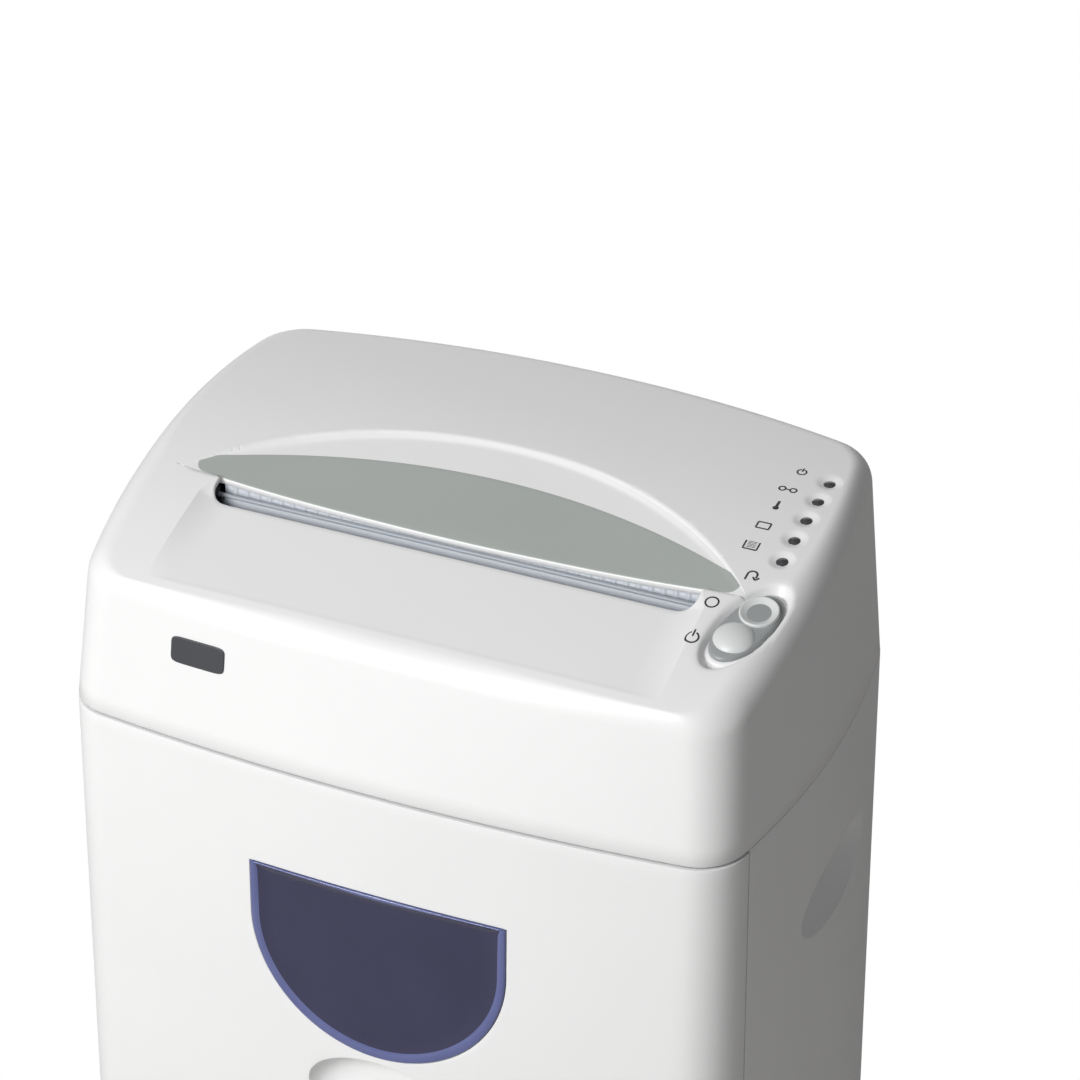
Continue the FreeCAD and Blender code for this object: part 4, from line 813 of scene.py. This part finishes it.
def makeRocker():
    s = rockerSizes
    outline = ovalOutline(s["halfLength"], s["halfWidth"], 96, 2.2)
    profile = [(k, s["level"] + s["crown"] * (1 - k * k)) for k in (0.04, 0.2, 0.4, 0.6, 0.75, 0.86)]
    profile += roundedEdge(1.0, s["level"], s["edge"], s["halfWidth"])
    profile += [(1.0, s["level"] - s["skirt"]), (0.1, s["level"] - s["skirt"])]
    u, v, h = ringed(outline, profile)
    plate = gridPiece("rockerPlate", onSwitch(u, v, h), capRows=True)
    placed(plate, "function_rocker", "switch_grey", ["rocker_switch"], switchGrey)
    bumpOutline = ovalOutline(s["bumpRadius"], s["bumpRadius"], 64)
    angles = np.linspace(0.03, s["bumpTurn"], 12)
    top = s["level"] + s["bumpRise"]
    widest, lowest = math.sin(s["bumpTurn"]), 1 - math.cos(s["bumpTurn"])
    ball = [(math.sin(a) / widest, top - s["bumpRise"] * (1 - math.cos(a)) / lowest) for a in angles]
    foot = s["level"] - s["bumpFoot"]
    u, v, h = ringed(bumpOutline, ball + [(1.0, foot), (0.1, foot)])
    bump = gridPiece("bump", onSwitch(u + s["bumpAt"], v, h), capRows=True)
    dishOutline = ovalOutline(s["dishRadius"], s["dishRadius"], 64)
    rimTop = s["level"] + s["dishRim"]
    bowl = [(k, rimTop - s["dishDepth"] * (1 - k * k / 0.81))
            for k in (0.03, 0.2, 0.4, 0.55, 0.7, 0.8, 0.88)]
    bowl += [(0.91, rimTop), (0.94, rimTop + 0.06), (0.97, rimTop)]
    foot = s["level"] - s["dishFoot"]
    bowl += [(1.0, rimTop - 0.4), (1.0, foot), (0.1, foot)]
    u, v, h = ringed(dishOutline, bowl)
    dish = gridPiece("dish", onSwitch(u + s["dishAt"], v, h), capRows=True)
    placed(joined("rockerPads", [bump, dish]), "function_rocker", "switch_grey", [], padGrey)
    collar = ovalOutline(s["halfLength"] + s["collarGap"], s["halfWidth"] + s["collarGap"], 96, 2.1)
    inner = 1 - s["collarWidth"] / s["halfWidth"]
    level = -switchSizes["depth"]
    ring = [(inner, level + 0.2), (inner + 0.01, level + 0.9), (inner + 0.04, level + 1.1),
            (1.0, level + 0.9), (1.02, level - 1.5), (inner, level - 1.5)]
    u, v, h = ringed(collar, ring)
    placed(gridPiece("switchCollar", onSwitch(u, v, h), closeRows=True), "cabinet", "body_plastic",
           ["switch_bezel"], bodyPlastic)


makeRocker()

# Lamps.


# A turned profile of (radius, height) about an upright axis, standing in each dish.
def makeLamps():
    s = lampSizes
    outline = ovalOutline(1, 1, 40)
    r = s["radius"]
    profile = [(0.04 * r, 1.3), (0.25 * r, 1.24), (0.42 * r, 1.08), (0.46 * r, 0.92), (0.52 * r, 0.9),
               (0.7 * r, 0.84), (0.86 * r, 0.62), (0.96 * r, 0.3), (r, -0.2), (r, -4.0), (0.1 * r, -4.0)]
    lenses = []
    for y in s["ys"]:
        u, v, h = ringed(outline, profile)
        base = domeHeight(y) - s["dishDepth"] + (v * (headSizes["domeY"] - y) / headSizes["domeRadius"])
        lenses.append(gridPiece("lens", np.stack([s["x"] + u, y + v, base + h], -1), capRows=True))
    return joined("lampLenses", lenses)


placed(makeLamps(), "cabinet", "lamp_smoke", ["indicator_lamps"], lampSmoke)

# Printed marks: plain strokes that lie on the top.


markSizes = {
    "line": 0.8,
    "thin": 0.3,
    "arrow": 0.9,
    "proud": 0.06,
    "sunk": 0.3,
    "standby": ((131.0, 54.8, 2.1), (125.2, -62.4, 2.9)),  # x, y and radius of each
    "off": (126.0, -41.6, 2.9),
    "rings": (130.0, 39.5),
    "heat": (129.8, 26.6),
    "door": (129.4, 10.9, 3.0, 2.1),
    "fullBin": (129.2, -3.4, 3.2, 2.6),
    "backwards": (137.0, -21.6),
}


# A ribbon of even width along a path: each station has a left and a right point, above and below.
def stroke(path, closed=False, width=None):
    half = (width or markSizes["line"]) / 2
    path = np.array(path, float)
    if closed:
        along = np.roll(path, -1, 0) - np.roll(path, 1, 0)
    else:
        along = np.gradient(path, axis=0)
    along /= np.linalg.norm(along, axis=1, keepdims=True)
    side = np.stack([-along[:, 1], along[:, 0]], -1) * half
    left, right = path + side, path - side
    rows = []
    for plan, rise in ((left, markSizes["proud"]), (right, markSizes["proud"]), (right, -markSizes["sunk"]),
                       (left, -markSizes["sunk"])):
        z = topHeight(plan[:, 0], plan[:, 1]) + rise
        rows.append(np.concatenate([plan, z[:, None]], -1))
    return gridPiece("stroke", np.stack(rows, 1), closeRows=closed, capRows=not closed)


def arcPath(x, y, radius, start=0, end=360, count=28):
    a = np.radians(np.linspace(start, end, count, endpoint=abs(end - start) < 360))
    return np.stack([x + radius * np.cos(a), y + radius * np.sin(a)], -1)


def linePath(x0, y0, x1, y1, count=4):
    return np.linspace([x0, y0], [x1, y1], count)


def boxPath(x, y, halfWidth, halfHeight, openTop=False):
    # the four sides of a box, or three of them where its top is open
    corners = [(-halfWidth, halfHeight), (-halfWidth, -halfHeight), (halfWidth, -halfHeight),
               (halfWidth, halfHeight)]
    sides = list(zip(corners, corners[1:] + corners[:1]))
    return [linePath(x + a[0], y + a[1], x + b[0], y + b[1]) for a, b in (sides[:3] if openTop else sides)]


def makeMarks():
    strokes = []
    m = markSizes
    for x, y, r in m["standby"]:
        strokes += [stroke(arcPath(x, y, r, 112, 428)), stroke(linePath(x, y + 0.2 * r, x, y + 1.5 * r))]
    strokes.append(stroke(arcPath(*m["off"]), closed=True))
    x, y = m["rings"]
    strokes += [stroke(arcPath(x - 2.6, y, 1.5), closed=True), stroke(arcPath(x + 2.6, y, 1.5), closed=True),
                stroke(linePath(x - 1.1, y, x + 1.1, y))]
    x, y = m["heat"]
    strokes += [stroke(linePath(x, y - 1.0, x, y + 3.2), width=1.3),
                stroke(arcPath(x, y - 2.0, 0.7), closed=True, width=1.4)]
    strokes += [stroke(path) for path in boxPath(*m["door"])]
    strokes += [stroke(path) for path in boxPath(*m["fullBin"], openTop=True)]
    x, y = m["fullBin"][:2]
    strokes += [stroke(linePath(x - 2.0, y + dy, x + 2.0, y + dy), width=m["thin"])
                for dy in (-1.2, -0.3, 0.6, 1.5, 2.4)]
    x, y = m["backwards"]
    strokes += [stroke(linePath(x - 2.6, y - 3.0, x - 2.6, y + 0.6), width=m["arrow"]),
                stroke(arcPath(x - 0.4, y + 0.6, 2.2, 180, 0, 16), width=m["arrow"]),
                stroke(linePath(x + 1.8, y + 0.8, x + 1.8, y - 1.0), width=m["arrow"]),
                stroke(linePath(x + 0.3, y - 0.6, x + 1.8, y - 2.4), width=m["arrow"]),
                stroke(linePath(x + 3.3, y - 0.6, x + 1.8, y - 2.4), width=m["arrow"])]
    return joined("panelMarks", strokes)


placed(makeMarks(), "cabinet", "badge_grey", [], markInk)

# Plate on the front of the head.

badgeLow, badgeHigh = cornersOf("badge")
badgeSizes = {"proud": 0.7, "edge": 0.25}


def headFront(x, z):
    s = headSizes
    rise = z - s["seam"]
    bow = s["frontBow"] - s["bowLoss"] * rise
    corner = s["halfWidth"] - s["leanSide"] * rise - s["sideBow"]
    radius = (corner ** 2 + bow ** 2) / (2 * bow)
    return s["front"] + s["leanFront"] * rise + radius - np.sqrt(radius ** 2 - x ** 2)


def makeBadge():
    s = badgeSizes
    half = (badgeHigh - badgeLow) / 2
    middle = (badgeHigh + badgeLow) / 2
    outline = ovalOutline(half[0], half[2], 96, 7.0)
    profile = [(k, s["proud"]) for k in (0.05, 0.35, 0.65, 0.88)]
    profile += roundedEdge(0.985, s["proud"], s["edge"], half[2], 4) + [(0.985, -0.5), (0.1, -0.5)]
    u, v, h = ringed(outline, profile)
    x, z = middle[0] + u, middle[2] + v
    return gridPiece("badgePlate", np.stack([x, headFront(x, z) - h, z], -1), capRows=True)


placed(makeBadge(), "cabinet", "badge_grey", ["badge"], badgeGrey)
print("head fittings")

# Cabinet, front panel and window.

caseLow, caseHigh = cornersOf("cabinet_shell")
doorLow, doorHigh = cornersOf("bin_front")
caseSizes = {
    "seam": headSizes["seam"],
    "draft": math.tan(math.radians(1.0)),
    "wall": 3.0,
    "edge": 0.7,
    "doorEdge": -89.8,  # where the front panel ends on the sides
    "doorGap": 0.8,
}


def caseOutline():
    # dense plan outline at the seam: distance along it from the middle of the front, point and outward normal
    s = headSizes
    loop = bowedLoop(s["halfWidth"], s["front"], s["back"], (s["frontBow"], s["sideBow"], s["backBow"]),
                     s["cornerRadius"], (400, 60, 400, 400, 400))[0]
    loop = np.roll(loop, -200, 0)
    loop = np.vstack([loop, loop[:1]])
    along = np.concatenate([[0], np.cumsum(np.linalg.norm(np.diff(loop, axis=0), axis=1))])
    step = np.roll(loop[:-1], -1, 0) - np.roll(loop[:-1], 1, 0)
    normal = np.stack([step[:, 1], -step[:, 0]], -1)
    normal /= np.linalg.norm(normal, axis=1, keepdims=True)
    normal = np.vstack([normal, normal[:1]])
    return along, loop, normal


caseAlong, caseLoop, caseNormal = caseOutline()
caseGirth = caseAlong[-1]


def onCase(s, z, depth):
    # a place on the cabinet's side: distance round it, height, and depth below its skin
    s = np.mod(s, caseGirth)
    out = caseSizes["draft"] * (caseSizes["seam"] - z) - depth
    xy = [np.interp(s, caseAlong, caseLoop[:, k]) + np.interp(s, caseAlong, caseNormal[:, k]) * out
          for k in range(2)]
    return np.stack([xy[0], xy[1], z + 0 * s], -1)


def girthAt(y):
    # distance round the right side at which the outline reaches this y
    right = (caseLoop[:, 0] > 100) & (caseAlong < caseGirth / 2)
    order = np.argsort(caseLoop[right, 1])
    return np.interp(y, caseLoop[right, 1][order], caseAlong[right][order])


# A sheet over (distance round, height) with patches let into it. Each patch takes a block of cells and fills
# it with rings that run from the block's edge to an outline, and inside that to a pole at some depth.
def sheetPiece(name, sLines, zLines, patches):
    ss, zz = np.meshgrid(sLines, zLines)
    verts = [onCase(ss, zz, 0 * ss).reshape(-1, 3)]
    cols = len(sLines)
    keep = np.ones((len(zLines) - 1, cols - 1), bool)
    faces = []
    base = ss.size
    for patch in patches:
        i0, i1 = [int(np.argmin(np.abs(sLines - v))) for v in patch["span"]]
        j0, j1 = [int(np.argmin(np.abs(zLines - v))) for v in patch["rise"]]
        keep[j0:j1, i0:i1] = False
        ring = [(i, j0) for i in range(i0, i1)] + [(i1, j) for j in range(j0, j1)]
        ring += [(i, j1) for i in range(i1, i0, -1)] + [(i0, j) for j in range(j1, j0, -1)]
        rs = sLines[[i for i, j in ring]]
        rz = zLines[[j for i, j in ring]]
        cs, cz = patch["centre"]
        theta = np.arctan2(rz - cz, rs - cs)
        for corner in patch.get("corners", []):
            theta[np.argmin(np.abs(theta - corner))] = corner
        radius = patch["radius"](theta)
        es, ez = cs + radius * np.cos(theta), cz + radius * np.sin(theta)
        rowsS, rowsZ, rowsD = [], [], []
        for t in np.linspace(0, 1, patch["outerRows"]) ** 0.8:
            rowsS.append(rs + (es - rs) * t)
            rowsZ.append(rz + (ez - rz) * t)
            rowsD.append(0 * es)
        for k in patch.get("scales", []):
            rowsS.append(cs + (es - cs) * k)
            rowsZ.append(cz + (ez - cz) * k)
            rowsD.append(patch["depth"](k, theta))
        grid = onCase(np.array(rowsS), np.array(rowsZ), np.array(rowsD))
        n = len(ring)
        count = len(rowsS)
        r, c = np.meshgrid(np.arange(count - 1), np.arange(n), indexing="ij")
        c2 = (c + 1) % n
        quads = np.stack([r * n + c, r * n + c2, (r + 1) * n + c2, (r + 1) * n + c], -1).reshape(-1, 4) + base
        faces.append(quads.tolist())
        verts.append(grid.reshape(-1, 3))
        base += grid.reshape(-1, 3).shape[0]
        if patch.get("scales"):
            verts.append(grid[-1].mean(0)[None, :])
            i = np.arange(n)
            last = base - n
            faces.append(np.stack([last + i, last + (i + 1) % n, np.full(n, base)], -1).tolist())
            base += 1
    j, i = np.nonzero(keep)
    a = j * cols + i
    faces.append(np.stack([a, a + 1, a + 1 + cols, a + cols], -1).tolist())
    mesh = bpy.data.meshes.new(name)
    mesh.from_pydata((np.vstack(verts) * metre).tolist(), [], [face for part in faces for face in part])
    work = bmesh.new()
    work.from_mesh(mesh)
    bmesh.ops.remove_doubles(work, verts=work.verts, dist=0.00002)
    loose = [v for v in work.verts if not v.link_faces]
    bmesh.ops.delete(work, geom=loose, context="VERTS")
    work.to_mesh(mesh)
    work.free()
    mesh.polygons.foreach_set("use_smooth", np.ones(len(mesh.polygons), bool))
    piece = bpy.data.objects.new(name, mesh)
    bpy.context.scene.collection.objects.link(piece)
    thick = piece.modifiers.new("wall", "SOLIDIFY")
    thick.thickness = caseSizes["wall"] * metre
    thick.offset = -1
    soft = piece.modifiers.new("softEdge", "BEVEL")
    soft.width = caseSizes["edge"] * metre
    soft.segments = 3
    soft.limit_method = "ANGLE"
    soft.angle_limit = math.radians(48)
    return piece


gripSizes = {"y": 10.5, "drop": 74.5, "halfLength": 47.5, "halfHeight": 18.5, "depth": 16.0, "sharp": 0.5,
             "soft": 1.7}


def gripRadius(theta):
    g = gripSizes
    return 1 / np.sqrt((np.cos(theta) / g["halfLength"]) ** 2 + (np.sin(theta) / g["halfHeight"]) ** 2)


def gripDepth(side):
    # sharp along the lower and rear edge, soft along the upper and front edge
    def depth(k, theta):
        g = gripSizes
        facing = np.cos(theta + math.pi / 2 + side * math.radians(25))
        power = g["sharp"] + (g["soft"] - g["sharp"]) * smoothStep(-0.9, 0.7, -facing)
        return g["depth"] * (1 - k * k) ** power
    return depth


def spaced(*stops):
    # lines between stops, each given as (start, step) with the last one a bare end
    lines = []
    for (start, step), stop in zip(stops[:-1], [p[0] for p in stops[1:]]):
        count = max(1, round((stop - start) / step))
        lines.append(np.linspace(start, stop, count, endpoint=False))
    return np.concatenate(lines + [[stops[-1][0]]])


def makeCase():
    g = gripSizes
    first = girthAt(caseSizes["doorEdge"] + caseSizes["doorGap"])
    gripS = girthAt(g["y"])
    z = caseSizes["seam"] - g["drop"]
    reach, rise = g["halfLength"] + 8, g["halfHeight"] + 8
    half = caseGirth / 2
    right = spaced((first, 3.0), (gripS - reach, 1.7), (gripS + reach, 2.5), (half, 1))
    sLines = np.concatenate([right, (caseGirth - right[::-1])[1:]])
    zLines = spaced((caseLow[2], 8.0), (z - rise, 1.7), (z + rise, 5.0), (caseHigh[2], 1))
    scales = [0.985, 0.96, 0.93, 0.89, 0.84, 0.78, 0.7, 0.6, 0.5, 0.4, 0.3, 0.2, 0.1, 0.04]
    patches = [{"span": (at - reach, at + reach), "rise": (z - rise, z + rise), "centre": (at, z),
                "radius": gripRadius, "outerRows": 7, "scales": scales, "depth": gripDepth(side)}
               for at, side in ((gripS, 1), (caseGirth - gripS, -1))]
    return sheetPiece("cabinetShell", sLines, zLines, patches)


placed(makeCase(), "cabinet", "body_plastic", ["cabinet_shell"], bodyPlastic)

windowSizes = {
    "centre": 350.0,
    "halfWidth": 64.0,
    "top": 27.0,
    "gap": 0.4,
    "proud": 0.75,
    "field": 0.1,
    "bands": (4.0, 5.2, 2.2),  # width of the light rim at the sides, bottom and top
    "thickness": 2.6,
    "pullCentre": 262.0,
    "pullHalfWidth": 36.0,
    "pullHalfHeight": 20.5,
    "pullDepth": 12.0,
}
windowCorner = math.atan2(windowSizes["top"], windowSizes["halfWidth"])


def windowRadius(theta, grow=0.0):
    # straight top and sides down to the centre's height, and a half circle below
    w, up = windowSizes["halfWidth"] + grow, windowSizes["top"] + grow
    cos, sin = np.abs(np.cos(theta)) + 1e-9, np.maximum(np.sin(theta), 1e-9)
    return np.where(np.sin(theta) < 0, w, np.minimum(w / cos, up / sin))


def makeDoor():
    w = windowSizes
    edge = girthAt(caseSizes["doorEdge"])
    z0, z1 = doorLow[2], doorHigh[2]
    reach = w["halfWidth"] + 12
    right = spaced((0, 3.0), (w["pullHalfWidth"] + 6, 3.0), (reach, 3.5), (edge, 1))
    sLines = np.concatenate([-right[::-1], right[1:]])
    pullTop = w["pullCentre"] + w["pullHalfHeight"] + 1.5
    zLines = spaced((z0, 8.0), (w["pullCentre"] - w["pullHalfHeight"] - 5, 2.2), (pullTop, 3.0),
                    (w["centre"] + w["top"] + 10, 5.0), (z1, 1))
    pull = {"span": (-w["pullHalfWidth"] - 6, w["pullHalfWidth"] + 6),
            "rise": (w["pullCentre"] - w["pullHalfHeight"] - 5, pullTop), "centre": (0.0, w["pullCentre"]),
            "radius": lambda a: 1 / np.sqrt((np.cos(a) / w["pullHalfWidth"]) ** 2
                                            + (np.sin(a) / w["pullHalfHeight"]) ** 2),
            "outerRows": 4,
            "scales": [0.99, 0.975, 0.955, 0.93, 0.9, 0.86, 0.8, 0.7, 0.55, 0.4, 0.25, 0.1, 0.03],
            "depth": lambda k, a: w["pullDepth"] * (1 - k ** 5) ** 0.7 + 0 * a}
    window = {"span": (-reach, reach), "rise": (pullTop, w["centre"] + w["top"] + 10),
              "centre": (0.0, w["centre"]), "radius": lambda a: windowRadius(a, w["gap"]), "outerRows": 8,
              "corners": [windowCorner, math.pi - windowCorner]}
    return sheetPiece("binFront", sLines, zLines, [window, pull])


placed(makeDoor(), "bin_drawer", "body_plastic", ["bin_front"], bodyPlastic)


# Rings from the middle of the pane to its edge: a flat field, a raised lighter rim, widest at the bottom,
# a rounded edge, and the back.
def makeWindow():
    w = windowSizes
    theta = np.sort(np.concatenate([np.linspace(-math.pi, math.pi, 240, endpoint=False),
                                    [windowCorner, math.pi - windowCorner]]))
    edge = windowRadius(theta)
    side, bottom, top = w["bands"]
    down = smoothStep(0.1, 1.0, -np.sin(theta))
    upper = smoothStep(windowCorner * 0.9, windowCorner * 1.1, np.minimum(theta, math.pi - theta))
    band = side + (bottom - side) * down + (top - side) * upper
    levels = [(edge - band) * k for k in (0.03, 0.3, 0.6, 0.85, 1.0)]
    depths = [-w["field"]] * 5
    for part, rise in ((0.12, 0.35), (0.3, 0.85), (0.45, 1.0), (0.75, 1.0), (0.88, 0.85), (0.96, 0.45),
                       (1.0, 0.0)):
        levels.append(edge - band + band * part)
        depths.append(-w["field"] - (w["proud"] - w["field"]) * rise)
    levels += [edge, edge * 0.05]
    depths += [w["thickness"], w["thickness"]]
    r = np.array(levels)
    d = np.array(depths)[:, None] + 0 * r
    s, z = r * np.cos(theta), w["centre"] + r * np.sin(theta)
    slots = [0] * 4 + [1] * 9
    return gridPiece("windowPane", onCase(s, z, d), capRows=True, faceSlots=slots)


placed(makeWindow(), "bin_drawer", "window_blue", ["window_pane"], windowBlue, windowRim)
print("cabinet and window")

# Camera, floor and light.

cameraSizes = {
    "place": (0.558, -1.197, 1.273),
    "yaw": math.radians(23.96),
    "pitch": math.radians(30.44),
    "roll": math.radians(0.32),
    "lens": 111.4,
}


def makeCamera():
    c = cameraSizes
    sy, cy, sp, cp = math.sin(c["yaw"]), math.cos(c["yaw"]), math.sin(c["pitch"]), math.cos(c["pitch"])
    forward = np.array([-sy * cp, cy * cp, -sp])
    right = np.array([cy, sy, 0.0])
    up = np.cross(right, forward)
    sr, cr = math.sin(c["roll"]), math.cos(c["roll"])
    right, up = cr * right + sr * up, -sr * right + cr * up
    data = bpy.data.cameras.new("studioCamera")
    data.lens = c["lens"]
    data.sensor_width = 36.0
    camera = bpy.data.objects.new("studioCamera", data)
    matrix = np.eye(4)
    matrix[:3, 0], matrix[:3, 1], matrix[:3, 2], matrix[:3, 3] = right, up, -forward, c["place"]
    camera.matrix_world = Matrix(matrix.tolist())
    bpy.context.scene.collection.objects.link(camera)
    bpy.context.scene.camera = camera


lightSizes = {
    # name: place, aim, width, power, colour
    "keyLight": ((-0.95, -2.3, 1.85), (0, 0, 0.45), 1.3, 76.0, (1.0, 1.0, 1.0)),
    "topLight": ((-0.7, 0.2, 2.6), (0, 0, 0.4), 1.6, 1.5, (1.0, 1.0, 1.0)),
    "backLight": ((-0.9, 2.2, 0.9), (0, 0, 0.35), 1.6, 8.0, (1.0, 1.0, 1.0)),
}
worldStrength = 0.22
floorSizes = {"reach": 12.0, "tone": (0.5, 0.49, 0.48), "roughness": 0.9, "glow": 1.0}


def makeStage():
    bpy.context.scene.view_settings.view_transform = "Standard"
    for name, (place, aim, width, power, colour) in lightSizes.items():
        data = bpy.data.lights.new(name, "AREA")
        data.size = width
        data.energy = power
        data.color = colour
        lamp = bpy.data.objects.new(name, data)
        lamp.location = place
        lamp.rotation_euler = (Vector(aim) - Vector(place)).to_track_quat("-Z", "Y").to_euler()
        bpy.context.scene.collection.objects.link(lamp)
    world = bpy.data.worlds.new("studioAir")
    world.use_nodes = True
    world.node_tree.nodes["Background"].inputs["Color"].default_value = (1.0, 1.0, 1.0, 1)
    world.node_tree.nodes["Background"].inputs["Strength"].default_value = worldStrength
    bpy.context.scene.world = world
    reach = floorSizes["reach"]
    mesh = bpy.data.meshes.new("paleFloor")
    mesh.from_pydata([(-reach, -reach, 0), (reach, -reach, 0), (reach, reach, 0), (-reach, reach, 0)], [],
                     [(0, 1, 2, 3)])
    floor = bpy.data.objects.new("paleFloor", mesh)
    bpy.context.scene.collection.objects.link(floor)
    pale = bpy.data.materials.new("palePaper")
    pale.use_nodes = True
    shader = pale.node_tree.nodes["Principled BSDF"]
    shader.inputs["Base Color"].default_value = (*floorSizes["tone"], 1)
    shader.inputs["Roughness"].default_value = floorSizes["roughness"]
    shader.inputs["Specular IOR Level"].default_value = 0.1
    light = pale.node_tree.nodes.new("ShaderNodeLightPath")
    bright = pale.node_tree.nodes.new("ShaderNodeEmission")
    bright.inputs["Color"].default_value = (1.0, 1.0, 1.0, 1)
    bright.inputs["Strength"].default_value = floorSizes["glow"]
    mix = pale.node_tree.nodes.new("ShaderNodeMixShader")
    pale.node_tree.links.new(light.outputs["Is Camera Ray"], mix.inputs[0])
    pale.node_tree.links.new(shader.outputs[0], mix.inputs[1])
    pale.node_tree.links.new(bright.outputs[0], mix.inputs[2])
    pale.node_tree.links.new(mix.outputs[0], pale.node_tree.nodes["Material Output"].inputs["Surface"])
    mesh.materials.append(pale)


makeCamera()
makeStage()
